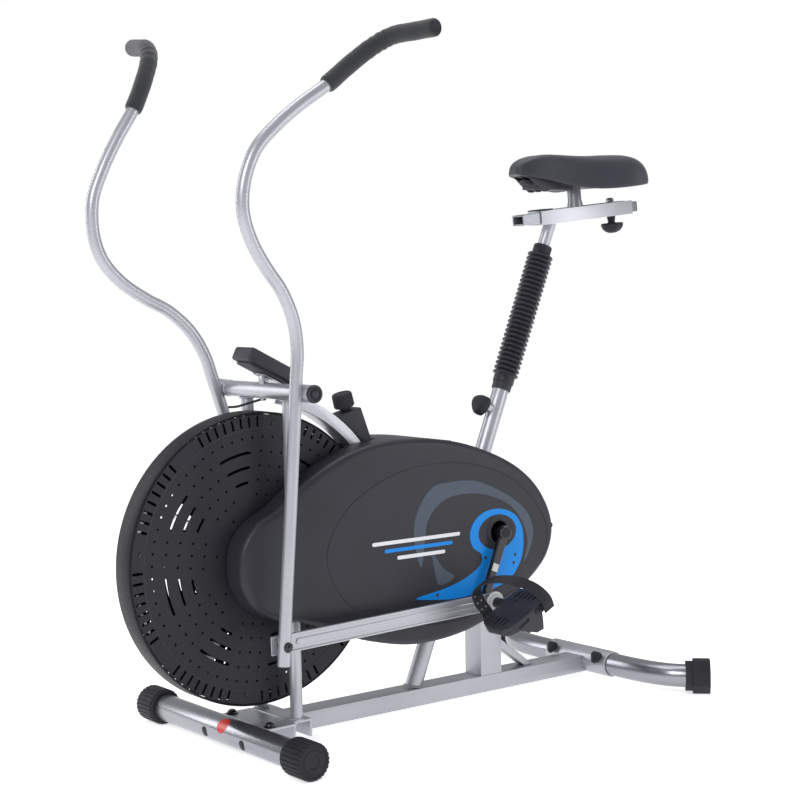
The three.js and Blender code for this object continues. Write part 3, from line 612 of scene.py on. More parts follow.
def add_levers():
    for side, sign in SIDES:
        body = f"{side}_lever_body"
        turn = Matrix.Rotation(lever_turn(side), 3, "Y")
        line = smooth_line([PIVOT + turn @ mm(x, sign * y, z) for x, y, z in LEVER_LINE], SPAN_STEPS)
        stand_in(f"{side}_lever", tube(line, LEVER_RADIUS, 32), PAINT, body)
        add_grip(side, body, smooth_line(line[GRIP_START * SPAN_STEPS::2], 6))
        add_lever_pivot(side, sign, body)
        add_lower_bolt(side, sign, body)
        down = (line[0] - line[3]).normalized()
        end = [(0, 0), (9.8, 0), (11.3, 0.8), (11.3, 2.4), (10, 3.2), (0, 3.2)]
        plug = lathe(end, line[0] - down * 0.4 * MM, down, 32)
        piece(f"{side}_lever_plug", plug, RUBBER, body)


def add_grip(side, body, line):
    stand_in(f"{side}_grip", tube(line, foam_radius, 32), FOAM, body)
    out = (line[-1] - line[-4]).normalized()
    plug = [(0, -6), (9, -6), (12.6, -1), (13.2, 0.4), (12.2, 1.6), (10.4, 1.6), (9.4, 0.9), (0, 1.1)]
    piece(f"{side}_grip_plug", lathe(plug, line[-1], out, 40), RUBBER, body)


def add_lever_pivot(side, sign, body):
    out = Y_AXIS * sign
    ring = rounded(15, HUB_RING_LENGTH, 1.5, hollow=9)
    piece(f"{side}_lever_hub", lathe(ring, PIVOT + out * HUB_RING_FROM * MM, out, 48), PAINT, body)
    cap = [(0, 0), (15.2, 0), (15.6, 1), (15.4, 4.4), (13.8, 6.8), (11.8, 7.2), (10.6, 6), (9.8, 4.4),
           (7.6, 4.4), (7, 6.4), (5, 8), (2.4, 8.6), (0, 8.6)]
    cap_mesh = lathe(cap, PIVOT + out * PIVOT_CAP_FROM * MM, out, 40)
    stand_in(f"{side}_pivot_cap", cap_mesh, PLASTIC, body)


def add_lower_bolt(side, sign, body):
    out = Y_AXIS * sign
    start = in_middle(centre(f"{side}_lower_bolt")) + out * BOLT_HEAD_FROM * MM
    dome = [(0, 0), (9, 0), (9, 1.2), (7.6, 1.6), (7.2, 3.4), (5.4, 5.6), (2.6, 7), (0, 7.3)]
    shank = [(0, 0), (4, 0), (4, BOLT_SHANK), (0, BOLT_SHANK)]
    both = joined_mesh([
        lathe(dome, start, out, 32),
        lathe(shank, start - out * (BOLT_SHANK - 0.8) * MM, out, 24),
    ])
    stand_in(f"{side}_lower_bolt", both, DARK, body)


# ---- Fan cage -----------------------------------------------------------------------------------
SPOKES = 8
FIRST_SPOKE = 171.4
SLOT_PITCH = 4.07
SLOT_INNER, SLOT_OUTER, SLOT_HALF = 229.5, 249.5, 2.3
# Each fan of curved slots: radius in mm and half its angle in degrees.
ARC_SLOTS = ((187.5, 9.6), (162.2, 7.9), (137, 4.9))
ARC_SLOT_HALF = 2.4
AIR_HOLE = 2.2
HOLE_RADII = (87, 112, 137, 162, 187)
HOLE_ROW = 20.8
OUTER_HOLES, OUTER_HOLE_RADIUS = 64, 212.5
GRILLE_RADIUS, GRILLE_FACE, GRILLE_THICK = 251.5, 23, 2.5
# The spoke that each screw is on, and its radius.
CAGE_SCREWS = ((0, 236), (2, 236), (4, 236), (6, 236), (0, 60), (4, 60))


def polar(radius, degrees):
    return radius * math.cos(math.radians(degrees)), radius * math.sin(math.radians(degrees))


def ray_slot(degrees):
    turn = Matrix.Rotation(math.radians(degrees), 2)
    return [tuple(turn @ Vector(p)) for p in stadium(SLOT_INNER, SLOT_OUTER, SLOT_HALF, 4)]


def arc_slot(radius, middle, span, steps=10):
    half = ARC_SLOT_HALF
    outer = [polar(radius + half, middle - span + 2 * span * i / steps) for i in range(steps + 1)]
    inner = [polar(radius - half, middle + span - 2 * span * i / steps) for i in range(steps + 1)]
    tip = math.degrees(half / radius)
    return [*outer, polar(radius, middle + span + tip), *inner, polar(radius, middle - span - tip)]


def cage_holes():
    holes = [circle(0, 0, 24)]
    for i in range(SPOKES):
        spoke = FIRST_SPOKE + 360 / SPOKES * i
        middle = spoke - 180 / SPOKES
        holes += [ray_slot(middle + (k - 3.5) * SLOT_PITCH) for k in range(8)]
        holes += [arc_slot(radius, middle, span) for radius, span in ARC_SLOTS]
        along, across = Vector(polar(1, spoke)), Vector(polar(1, spoke + 90))
        for radius in HOLE_RADII:
            steps = (0,) if radius == HOLE_RADII[0] else (-HOLE_ROW, 0, HOLE_ROW)
            holes += [circle(*(along * radius + across * step), AIR_HOLE, 8) for step in steps]
    outer = [polar(OUTER_HOLE_RADIUS, FIRST_SPOKE + 360 / OUTER_HOLES * i) for i in range(OUTER_HOLES)]
    return holes + [circle(x, z, AIR_HOLE, 8) for x, z in outer]


def add_cage():
    outlines = [circle(0, 0, GRILLE_RADIUS, 180), *cage_holes()]
    for side, sign in SIDES:
        low, high = sorted((sign * (GRILLE_FACE - GRILLE_THICK), sign * GRILLE_FACE))
        mesh = sheet_mesh(outlines, low, high, 0.45, HUB)
        stand_in(f"{side}_cage_grille", mesh, GRILLE, sharp=30)
        ridge = [(226.6, 0), (227.2, 0.8), (228.4, 0.8), (229, 0), (226.6, 0)]
        ring = lathe(ridge, HUB + Y_AXIS * sign * (GRILLE_FACE - 0.4) * MM, Y_AXIS * sign, 180)
        piece(f"{side}_cage_ridge", ring, PLASTIC)
        for spoke, radius in CAGE_SCREWS:
            x, z = polar(radius, FIRST_SPOKE + 45 * spoke + 0.6)
            head = [(0, 0), (4.2, 0), (4, 1.2), (2.4, 1.9), (1, 1.3), (0, 1.3)]
            screw = lathe(head, HUB + mm(x, sign * (GRILLE_FACE - 0.2), z), Y_AXIS * sign, 20)
            piece(f"{side}_cage_screw_{spoke}_{radius}", screw, DARK)
    half = [(252.4, 22.9), (253.6, 22.2), (254.4, 22.9), (255.4, 22.4), (256, 21)]
    profile = [(252.2, 0), *half, *[(r, -d) for r, d in reversed(half)], (252.2, 0)]
    stand_in("cage_band", lathe(profile, HUB, Y_AXIS, 240), MESHED, sharp=25)


# ---- Covers -------------------------------------------------------------------------------------
# Control points of the cover's edge, in mm from the crank axle.
COVER_EDGE = [
    (-574, -10.5), (-568, 29.5), (-541, 64.5), (-496, 88.5), (-451, 121.5), (-380, 159.5), (-305, 183.5),
    (-178, 188.5), (-55, 166.5), (59, 116.5), (115, 64.5), (143, -0.5), (130, -55.5), (79, -104.5),
    (-43, -171.5), (-185, -189.5), (-298, -169.5), (-448, -116.5), (-506, -102.5), (-548, -76.5),
    (-569, -43.5),
]
COVER_FACE = 75
COVER_ROUND = 13
COVER_WALL = 3
# The groove pressed into the cover's face, in mm from the crank axle.
GROOVE_EDGE = [
    (-399, -4), (-370, 59), (-303, 108), (-210, 137), (-100, 139), (4, 112), (80, 63), (124, -14), (92, -88),
    (18, -122), (-80, -152), (-190, -152), (-300, -128), (-372, -74),
]
# Each cover screw's place, and how deep it sits where the face is rounded.
COVER_SCREWS = [(-197, 154, 0.6), (-1, 129, 1.6), (134, -1, 1.6), (-456, -13, 0.6), (-187, -170, 0.6)]
# Room left in the cover for what passes through it, in mm.
FAN_ROOM, FAN_ROOM_HALF = 260.5, 26.2
SEAT_TUBE_ROOM = 18.5
CRANK_HOLE = 21
UPRIGHT_FOOT, UPRIGHT_HEAD, UPRIGHT_ROOM = (-293.5, 55, 23.3), (-304.5, 65.5, 612), 12
ARC_TUBE_RADIUS = 282.5
ARC_ROOM = [(-22, -13), (22, -13), (22, 13), (-22, 13)]


def closed_curve(points, per_span):
    """A smooth closed outline through the points."""
    wrapped = [points[-1], *points, points[0], points[1]]
    line = smooth_line([(x, z, 0) for x, z in wrapped], per_span)
    return [(p.x, p.y) for p in line[per_span:per_span * (len(points) + 1)]]


def moved_in(outline, distance):
    area = sum(a[0] * b[1] - b[0] * a[1] for a, b in zip(outline, outline[1:] + outline[:1]))
    turn = math.copysign(distance, area)
    result = []
    for before, here, after in zip(outline[-1:] + outline[:-1], outline, outline[1:] + outline[:1]):
        dx, dz = after[0] - before[0], after[1] - before[1]
        length = math.hypot(dx, dz)
        result.append((here[0] - dz / length * turn, here[1] + dx / length * turn))
    return result


def shell_block(outline, face, seam, round_edge, sign):
    """A block with the outline's shape from the seam to a face whose edge is rounded."""
    rings = [[CRANK + mm(x, sign * seam, z) for x, z in outline]]
    for i in range(6):
        a = math.pi / 2 * i / 5
        inner = moved_in(outline, round_edge * (1 - math.cos(a)) + 0.001)
        depth = face - round_edge * (1 - math.sin(a))
        rings.append([CRANK + mm(x, sign * depth, z) for x, z in inner])
    return bridged(rings)


def cover_cuts(sign, edge, groove):
    """A cover half's hollow, the room for what passes through it, and its groove."""
    out = Y_AXIS * sign
    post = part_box("crank_post")[0]
    house_low, house_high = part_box("tension_housing")
    arc = [HUB + mm(x, 0, z) for x, z in (polar(ARC_TUBE_RADIUS, a) for a in range(80, 8, -6))]
    line = [CRANK + mm(x, sign * (COVER_FACE + 0.15), z) for x, z in groove]
    foot, head = [mm(x, sign * y, z) for x, y, z in (UPRIGHT_FOOT, UPRIGHT_HEAD)]
    return [
        shell_block(moved_in(edge, COVER_WALL), COVER_FACE - COVER_WALL, -3, COVER_ROUND - 3, sign),
        rod_mesh(HUB - Y_AXIS * FAN_ROOM_HALF * MM, HUB + Y_AXIS * FAN_ROOM_HALF * MM, FAN_ROOM, 128),
        rod_mesh(seat_line_point(0.2), seat_line_point(0.66), SEAT_TUBE_ROOM),
        tube(arc, 1, section=ARC_ROOM),
        brick((post.x, -0.027, 0.07), (post.x + 0.056, 0.027, 0.30)),
        rod_mesh(CRANK + out * 0.06, CRANK + out * 0.09, CRANK_HOLE, 64),
        brick((house_low.x + 0.04, -0.0186, 0.49), (house_high.x + 0.002, 0.0186, 0.53)),
        rod_mesh(foot, head, UPRIGHT_ROOM, 32),
        tube(line, 0.9, 8, is_loop=True),
    ]


def add_covers():
    edge = closed_curve(COVER_EDGE, 8)
    groove = closed_curve(GROOVE_EDGE, 10)
    for side, sign in SIDES:
        outer = shell_block(edge, COVER_FACE, 0.3, COVER_ROUND, sign)
        mesh = cut_away(outer, cover_cuts(sign, edge, groove))
        stand_in(f"{side}_cover", mesh, CASING, sharp=32)
        add_cover_prints(side, sign)
        for number, (x, z, depth) in enumerate(COVER_SCREWS):
            head = [(0, 0.1), (5.2, 0.1), (5.6, 0.5), (4.6, 0.5), (4.1, 0.2), (2.6, 0.25), (1, 0.9), (0, 0.9)]
            start = CRANK + mm(x, sign * (COVER_FACE - depth), z)
            piece(f"{side}_cover_screw_{number}", lathe(head, start, Y_AXIS * sign, 24), DARK)


# Plain printed shapes on the covers, in mm from the crank axle.
CRESCENT = [
    (-189, -47), (-204, 2), (-202, 40), (-188, 70), (-158, 99), (-120, 104), (-60, 102), (-10, 84), (36, 60),
    (73, 29), (87, -6), (80, -38), (62, -64), (72, -28), (62, 8), (32, 45), (-14, 68), (-70, 79), (-125, 75),
    (-156, 57), (-174, 33), (-179, 4),
]
CRESCENT_FOOT = [(-162, -24), (-158, -55), (-147, -84), (-111, -73), (-136, -55), (-151, -36)]
BLUE_TAIL = [
    (-202, -103), (-160, -110), (-112, -114), (-67, -112), (-18, -107), (24, -94), (50, -68), (61, -36),
    (58, 4), (40, 29), (6, 43), (-34, 41), (-61, 25), (-72, 0), (-64, -24), (-44, -39), (-46, -56),
    (-78, -76), (-128, -91),
]
# Each stripe: its two ends and its height.
STRIPES = [(-300, -96, 6.4), (-272, -114, -8.2), (-244, -132, -22.8)]
PRINT_DOTS = [(-34, -46), (-152, -102), (40, -48), (36, -63)]
PRINT_BOTTOM, PRINT_TOP, PRINT_STEP = -0.05, 0.16, 0.05


def add_cover_prints(side, sign):
    def printed(name, outlines, look, level=0):
        """A thin print on the cover's face; a higher level lies over a lower one."""
        low, high = sorted((sign * (COVER_FACE + PRINT_BOTTOM), sign * (COVER_FACE + PRINT_TOP)))
        lift = sign * level * PRINT_STEP
        mesh = sheet_mesh(outlines, low + lift, high + lift, 0.03, CRANK)
        piece(f"{side}_{name}", mesh, look, sharp=60)

    printed("crescent", [closed_curve(CRESCENT, 5)], SLATE)
    printed("crescent_foot", [closed_curve(CRESCENT_FOOT, 5)], SLATE)
    printed("blue_tail", [closed_curve(BLUE_TAIL, 6), circle(-3, -1, 34, 48)], BLUE, 1)
    for number, (x0, x1, height) in enumerate(STRIPES):
        outline = [(x, height + z) for x, z in stadium(x0, x1, 3.4)]
        printed(f"stripe_{number}", [outline], BLUE if number == 1 else WHITE, 1)
    for number, (x, z) in enumerate(PRINT_DOTS):
        printed(f"dot_{number}", [circle(x, z, 3.2, 20)], PLASTIC, 2)
    surround = [(47 * math.cos(a) - 4, 33 * math.sin(a)) for a in [math.pi * i / 36 for i in range(72)]]
    printed("hub_surround", [surround, circle(0, 0, 30, 48)], PLASTIC, 2)
    ring = [(22, 0), (32, 0), (33, 0.6), (32.2, 1.5), (30.4, 1.5), (29.6, 0.9), (24.6, 1.0), (23.4, 2.2),
            (21.6, 2.2), (21.6, 0), (22, 0)]
    start = CRANK + Y_AXIS * sign * (COVER_FACE - 0.1) * MM
    piece(f"{side}_crank_collar", lathe(ring, start, Y_AXIS * sign, 64), PLASTIC)


# ---- Base frame ---------------------------------------------------------------------------------
FRONT_FOOT_RADIUS = 24
CAP_RADIUS = 32.3
CAP_RIBS = 26
# How much shorter a front cap is shown at its inner end than its CAD node.
CAP_TRIM = 6
# Places along the front foot tube, in metres from the middle plane.
PLUG_PLACES = (0.036, -0.084)
STICKER_PLACE = -0.0165
STICKER_RADIUS, STICKER_THICK = 15, 0.2
# The bent rear foot tube's centre line in mm from the middle of its sleeve.
REAR_LINE = [(0, 30), (0, 70), (0, 110), (1.5, 150), (7, 190), (19, 225), (38, 252), (49, 263)]
REAR_RADIUS = 22.4
SLEEVE_OUTER, SLEEVE_INNER = 25.5, 22.9
# The crossbar is thin where the levers turn on it.
CROSSBAR_RADIUS, CROSSBAR_NECK, CROSSBAR_NECK_LENGTH = 14, 8, 35.2
# The sensor cable's route in mm, as the CAD cable has it.
CABLE = [(-346.5, 61, 587), (-335.5, 50, 588), (-319.5, 36, 594), (-305.5, 20, 600), (-302.5, 8, 602.2)]
CABLE_RADIUS = 2.1


def add_front_foot():
    foot = centre("front_foot_tube")
    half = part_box("front_foot_tube")[1].y
    bar = lathe(rounded(FRONT_FOOT_RADIUS, 2 * half / MM, 1), foot - Y_AXIS * half, Y_AXIS, 72)
    piece("front_foot_shown", bar, TUBE, "frame", ["front_foot_tube"])
    for side, sign in SIDES:
        add_front_cap(side, sign, foot)
        bolt = f"{side}_front_foot_bolt"
        head = [(0, -1), (11, -1), (11, 0.4), (8.6, 0.8), (8.2, 3.4), (6.2, 5.8), (3, 7.2), (0, 7.6)]
        place = centre(bolt)
        place.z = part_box(bolt)[0].z + 0.8 * MM
        stand_in(bolt, lathe(head, place, (0, 0, 1), 32), DARK)
    outward = Vector((-0.97, 0, -0.24)).normalized()
    for number, y in enumerate(PLUG_PLACES):
        plug = [(0, -4), (8.6, -4), (9, -0.6), (8.2, 0), (0, 0.5)]
        spot = Vector((foot.x, y, foot.z)) + outward * FRONT_FOOT_RADIUS * MM
        piece(f"front_foot_plug_{number}", lathe(plug, spot, outward, 28), RUBBER)
    add_foot_sticker(Vector((foot.x, STICKER_PLACE, foot.z)), Vector((-0.77, 0, 0.64)).normalized())


def add_front_cap(side, sign, foot):
    """A ribbed cap with a flat underside, so that it stands on the floor."""
    node = f"{side}_front_foot_cap"
    low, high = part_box(node)
    length = (high.y - low.y) / MM - CAP_TRIM
    inner = min(abs(low.y), abs(high.y)) + CAP_TRIM * MM
    profile = [(24.4, 2), (24.4, 0), (28.6, 0), (30.4, 1.5), (30.8, 5), (CAP_RADIUS, 5.5),
               (CAP_RADIUS, length - 4.5), (31, length - 1.5), (29, length - 0.4), (26.5, length),
               (25.4, length - 1.6), (20, length - 1.6), (19, length - 0.4), (12, length - 0.4),
               (11, length - 1.8), (0, length - 1.8)]
    ribs = grooves(CAP_RIBS, 1.6, 30.45, 4.9, 58.1, threshold=0.25)
    start = Vector((foot.x, sign * inner, foot.z))
    mesh = lathe(profile, start, Y_AXIS * sign, CAP_RIBS * 8, ribs, floor=0)
    stand_in(node, mesh, RUBBER)


def add_foot_sticker(middle, outward):
    """A thin round sticker that lies on the foot tube."""
    across = outward.cross(Y_AXIS)

    def ring(share, lift):
        points = []
        for a in [2 * math.pi * i / 36 for i in range(36)]:
            bend = share * STICKER_RADIUS * math.cos(a) / FRONT_FOOT_RADIUS
            way = outward * math.cos(bend) + across * math.sin(bend)
            aside = Y_AXIS * share * STICKER_RADIUS * math.sin(a) * MM
            points.append(middle + way * (FRONT_FOOT_RADIUS + lift) * MM + aside)
        return points

    bottom = [middle + outward * (FRONT_FOOT_RADIUS + 0.02) * MM]
    top = [middle + outward * (FRONT_FOOT_RADIUS + STICKER_THICK) * MM]
    faces = [ring(share, STICKER_THICK) for share in (1, 0.75, 0.5, 0.25)]
    piece("foot_sticker", bridged([bottom, ring(1, 0.02), *faces, top]), RED, sharp=60)


def add_rear_foot():
    sleeve = centre("rear_foot_sleeve")
    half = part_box("rear_foot_sleeve")[1].y
    ring = rounded(SLEEVE_OUTER, 2 * half / MM, 0.8, hollow=SLEEVE_INNER)
    sleeve_mesh = lathe(ring, sleeve - Y_AXIS * half, Y_AXIS, 72)
    stand_in("rear_foot_sleeve", sleeve_mesh, PAINT)
    outward = Vector((-0.87, 0, 0.5)).normalized()
    for side, sign in SIDES:
        bar = f"{side}_rear_foot_tube"
        line = smooth_line([sleeve + mm(x, sign * y, 0) for x, y in REAR_LINE], 8)
        stand_in(bar, tube(line, REAR_RADIUS, 44), TUBE)
        refined(f"{side}_rear_foot_cap", RUBBER, "frame", 2.2, limit=30)
        bolt = f"{side}_rear_foot_bolt"
        start = Vector((sleeve.x, centre(bolt).y, sleeve.z)) + outward * (SLEEVE_OUTER + 0.1) * MM
        knob = [(0, 0), (7, 0), (7, 2), (11.4, 3), (12, 5), (11.6, 8.6), (8.6, 11), (4, 11.8), (0, 12)]
        lobes = waves(3, 0.15, low=2)
        stand_in(bolt, lathe(knob, start, outward, 72, lobes), RUBBER)
        rail_end = Vector((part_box("main_rail")[1].x - 0.004, sign * 0.0255, 0.0265))
        weld(f"{side}_rail_weld", rail_end, (1, 0, 0.6), 9)


def add_frame_tubes():
    for node, width in (("main_rail", 3.5), ("front_bracket", 1.2), ("crank_post", 3.0), ("post_gusset", 1.5),
                        ("arc_tube", 2.6), ("seat_tube", 0.6)):
        refined(node, PAINT, "frame", width)
    for side, sign in SIDES:
        refined(f"{side}_upright", PAINT, "frame", 0.4, limit=50)
        foot = Vector((-0.2936, sign * 0.0551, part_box(f"{side}_upright")[0].z + 0.001))
        weld(f"{side}_upright_weld", foot, (0, 0, 1), 11)
        head = Vector((PIVOT.x + 0.004, sign * 0.0652, PIVOT.z - 0.0150))
        weld(f"{side}_crossbar_weld", head, (0, 0, 1), 10.6)
    add_crossbar()
    foot_of_seat_tube = seat_line_point(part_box("main_rail")[1].z + 0.0015)
    weld("seat_tube_weld", foot_of_seat_tube, SEAT_LINE * 0.4 + Vector((0, 0, 0.6)), 16.6)
    bush = [(16.1, 0), (18.6, 0), (19, 1), (19, 20), (17.8, 21.4), (13, 21.4), (13, 20.6), (16.1, 20.4),
            (16.1, 0)]
    piece("seat_tube_bush", lathe(bush, seat_line_point(0.5905), SEAT_LINE, 40), PLASTIC)
    add_sensor_cable()


def add_crossbar():
    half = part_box("pivot_crossbar")[1].y
    edge = [(0, 0), (CROSSBAR_NECK - 0.6, 0), (CROSSBAR_NECK, 0.6), (CROSSBAR_NECK, CROSSBAR_NECK_LENGTH),
            (CROSSBAR_RADIUS - 1.4, CROSSBAR_NECK_LENGTH), (CROSSBAR_RADIUS, CROSSBAR_NECK_LENGTH + 1.2)]
    profile = edge + [(r, 2 * half / MM - d) for r, d in reversed(edge)]
    mesh = lathe(profile, Vector((PIVOT.x, -half, PIVOT.z)), Y_AXIS, 56)
    stand_in("pivot_crossbar", mesh, PAINT)


def add_sensor_cable():
    line = smooth_line([mm(*point) for point in CABLE], 6)
    stand_in("sensor_cable", tube(line, CABLE_RADIUS, 12), RUBBER)
    clip = [(2.3, -3), (3.5, -3), (3.5, 3), (2.3, 3), (2.3, -3)]
    piece("cable_clip", lathe(clip, line[-4], line[-3] - line[-5], 20), STEEL)


# ---- Drive, pedals and link bars ----------------------------------------------------------------
PEDAL_TURN = {"left": math.radians(-27), "right": math.radians(210)}
PEDAL_INNER, PEDAL_OUTER = 150, 236
# The pedal seen from the side, and from above as distances from the middle plane.
PEDAL_SIDE = [(-80, 1), (-75, 8.4), (40, 9), (45, 5), (45, -4), (9, -9), (4, -24), (-2, -38), (-18, -35),
              (-52, -8), (-75, -6)]
PEDAL_PLAN = [(-58, 149.7), (-70, 164), (-79, 184), (-81, 200), (-79, 216), (-70, 229), (-54, 236.5),
              (34, 236.5), (44, 228), (46, 155), (42, 149.7)]
# The strap's middle line: along the pedal, away from the middle plane, and up from the spindle.
STRAP_LINE = [(-44, 148.1, -10), (-44, 148.1, 12), (-47, 144, 40), (-44, 146, 60), (-33, 164, 74),
              (-10, 200, 70), (11, 232, 45), (20, 245.4, 14), (20, 244.8, -8)]
# Shares of the strap's length with a pair of holes; those at the outer end don't go through.
STRAP_HOLES = (0.10, 0.17, 0.24, 0.31, 0.76, 0.83, 0.90)
CRANK_ARM_INNER, CRANK_ARM_OUTER = 84.8, 93.6
LINK_HALF = 16.3
LINK_INNER, LINK_OUTER = 107.1, 110.4


def on_pedal(mesh, side):
    place = Matrix.Translation(joint_place(f"{side}_pedal_spin"))
    mesh.transform(place @ Matrix.Rotation(PEDAL_TURN[side], 4, "Y"))
    return mesh


def add_crank(side, sign, pin):
    out = Y_AXIS * sign
    reach = (pin - CRANK).length / MM
    half = [(10.5, 4), (8.4, -reach - 3), (4, -reach - 9)]
    outline = [(-10.5, 4), (-6, 11), (6, 11), *half, *[(-x, z) for x, z in reversed(half[1:])]]
    arm = joined_mesh([
        plate([outline], sign, CRANK_ARM_INNER, CRANK_ARM_OUTER, 2.2),
        lathe(rounded(14.5, 17, 2, hollow=8.4), mm(0, sign * 79.2, 0), out, 48),
        lathe(rounded(11, 13.8, 2), mm(0, sign * 83.1, -reach), out, 40),
        lathe(rounded(7, 139.8, 1), mm(0, sign * 90.2, -reach), out, 32),
    ])
    lean = math.atan2(CRANK.x - pin.x, CRANK.z - pin.z)
    hang = Matrix.Translation(CRANK) @ Matrix.Rotation(lean, 4, "Y")
    arm.transform(hang)
    stand_in(f"{side}_crank", arm, DARK, "crankset")
    cap = [(0, 0), (9, 0), (9.6, 0.8), (8.6, 2), (6, 2.4), (5, 1.6), (0, 1.6)]
    piece(f"{side}_crank_bolt", lathe(cap, CRANK + out * 95.9 * MM, out, 32), RUBBER, "crankset")
    # A pale patch on the arm's face, part way to the pedal: a painted highlight standing for the bright spot
    # on the glossy black arm.
    y = sign * CRANK_ARM_OUTER
    painted_highlight = soft_brick((-7, y - 0.4, -76), (7, y + 0.4, -61), 0.2)
    painted_highlight.transform(hang)
    piece(f"{side}_crank_painted_highlight", painted_highlight, PALE, "crankset")


def pedal_block(sign):
    """The moulded pedal: its side outline kept only inside its outline from above."""
    body = plate([PEDAL_SIDE], sign, PEDAL_INNER, PEDAL_OUTER, 1.0)
    around = sheet_mesh([PEDAL_PLAN], -60, 60, 0.2, (0, 0, 0))
    # sheet_mesh draws in X and Z, so the plan is laid down about the X axis.
    around.transform(Matrix.Rotation(math.radians(90 if sign < 0 else -90), 4, "X"))
    return cut_away(body, [around], "INTERSECT")


def pedal_cuts(sign):
    """Rows of slots near both ends, the middle one right through, short treads between and side pockets."""
    cuts = []
    for x in (-55, 24):
        for y in (166, 177, 188, 199, 210):
            deep = 60 if y == 188 else 4
            low, high = (x - 10.5, sign * y - 2.2, 9.5 - deep), (x + 10.5, sign * y + 2.2, 30)
            cuts.append(soft_brick(low, high, 1.8, 3))
    for y in (160, 175, 190, 205, 220):
        cuts.append(soft_brick((-7, sign * y - 3, 7.6), (7, sign * y + 3, 20), 1.2))
    y = sign * PEDAL_OUTER
    for x, z in ((-38, -1), (26, 0)):
        cuts.append(soft_brick((x - 14, y - 3, z - 3.4), (x + 14, y + 3, z + 3.4), 1.4))
    return cuts


def add_pedal(side, sign, pin):
    body = f"{side}_pedal_body"
    out = Y_AXIS * sign
    block = cut_away(pedal_block(sign), pedal_cuts(sign))
    stand_in(f"{side}_pedal", on_pedal(block, side), PLASTIC, body)
    boss = lathe(rounded(9.5, 33.6, 1.6, hollow=7.4), mm(0, sign * 116.2, 0), out, 48)
    near, far = sorted((sign * 234, sign * 243))
    lug = soft_brick((10, near, -6), (30, far, 4), 1.2)
    piece(f"{side}_pedal_boss", on_pedal(joined_mesh([boss, lug]), side), PLASTIC, body)
    disc = [(9.4, 0), (18.6, 0), (19.8, 0.8), (19.8, 2.6), (18.6, 3.4), (15.4, 3.4), (14.6, 2.6), (12.4, 2.6),
            (11.8, 5), (10.2, 5.4), (9.4, 5.4), (9.4, 0)]
    piece(f"{side}_pedal_flange", lathe(disc, pin + out * 118.5 * MM, out, 56), PALE, body)
    nut = [(0, 0), (6, 0), (6.4, 1), (6.4, 2), (5, 2.8), (0, 3)]
    piece(f"{side}_pedal_nut", lathe(nut, pin + out * (PEDAL_OUTER - 1) * MM, out, 24), RUBBER, body)
    arch = smooth_line([mm(x, sign * y, z) for x, y, z in STRAP_LINE], 8)
    stand_in(f"{side}_pedal_strap", on_pedal(strap_band(arch), side), RUBBER, body)


def strap_band(arch):
    """A flat strap along the arch, its width kept along the pedal, with rows of holes near both ends."""
    wide = Vector((1, 0, 0))
    section = [(-12, -1.0), (-11.2, -1.6), (11.2, -1.6), (12, -1.0), (12, 1.0), (11.2, 1.6), (8, 1.6),
               (7, 1.2), (-7, 1.2), (-8, 1.6), (-11.2, 1.6), (-12, 1.0)]
    rings, frames = [], []
    for i, point in enumerate(arch):
        along = (arch[min(i + 1, len(arch) - 1)] - arch[max(i - 1, 0)]).normalized()
        out = wide.cross(along).normalized()
        frames.append((wide, along, out))
        rings.append([point + (wide * a + out * b) * MM for a, b in section])
    holes = []
    for share in STRAP_HOLES:
        i = round(share * (len(arch) - 1))
        bottom = -6 if share < 0.5 else -0.2
        for across in (-5, 5):
            hole = brick(mm(across - 2.6, -2.4, bottom), mm(across + 2.6, 2.4, 6))
            hole.transform(Matrix.Translation(arch[i]) @ Matrix(frames[i]).transposed().to_4x4())
            holes.append(hole)
    return cut_away(bridged(rings), holes)


def add_cranks_and_pedals():
    for side, sign in SIDES:
        pin = joint_place(f"{side}_pedal_spin")
        add_crank(side, sign, pin)
        add_pedal(side, sign, pin)


def add_links():
    for side, sign in SIDES:
        out = Y_AXIS * sign
        bolt = in_middle(centre(f"{side}_lower_bolt"))
        pin = joint_place(f"{side}_link_turn")
        length = (pin - bolt).length / MM
        angle = math.atan2(pin.z - bolt.z, pin.x - bolt.x)
        end = [(length + 9, -LINK_HALF), (length + 16, -9), (length + 16, 9), (length + 9, LINK_HALF)]
        outline = [(-16, -LINK_HALF), *end, (-16, LINK_HALF)]
        holes = [circle(0, 0, 4.6, 24), circle(length, 0, 7.6, 32)]
        parts = [plate([outline, *holes], sign, LINK_INNER, LINK_OUTER, 0.7)]
        for z0, z1 in ((-LINK_HALF, -LINK_HALF + 3.4), (LINK_HALF - 3.4, LINK_HALF)):
            lip = [(-16, z0), (length + 8, z0), (length + 8, z1), (-16, z1)]
            parts.append(plate([lip], sign, 109, 112.8, 1.1))
        parts.append(plate([stadium(34, length - 40, 5.2)], sign, 109, 112.4, 1.0))
        collar = [(7.9, 0), (14, 0), (14.6, 0.6), (14.6, 1.8), (13.4, 2.4), (7.9, 2.4), (7.9, 0)]
        parts.append(lathe(collar, mm(length, sign * 110.3, 0), out, 40))
        mesh = joined_mesh(parts)
        mesh.transform(Matrix.Translation(bolt) @ Matrix.Rotation(-angle, 4, "Y"))
        body = f"{side}_link_body"
        stand_in(f"{side}_link", mesh, PAINT, body)
        ring = [(7.9, 0), (11.5, 0), (11.8, 0.5), (11.2, 1.5), (8.3, 1.5), (7.9, 0)]
        piece(f"{side}_link_washer", lathe(ring, pin + out * 112.6 * MM, out, 40), RUBBER, body)


# ---- Console and resistance ---------------------------------------------------------------------
CONSOLE_TILT = math.radians(26.6)
CONSOLE_FRONT = Vector((-0.349, 0, 0.696))
CONSOLE_LENGTH, CONSOLE_HALF, CONSOLE_THICK = 116, 29, 25
BUTTON_PLACE = 96
FIELD_PLACES = (-13, 0, 13)


def on_console(mesh):
    mesh.transform(Matrix.Translation(CONSOLE_FRONT) @ Matrix.Rotation(CONSOLE_TILT, 4, "Y"))
    return mesh


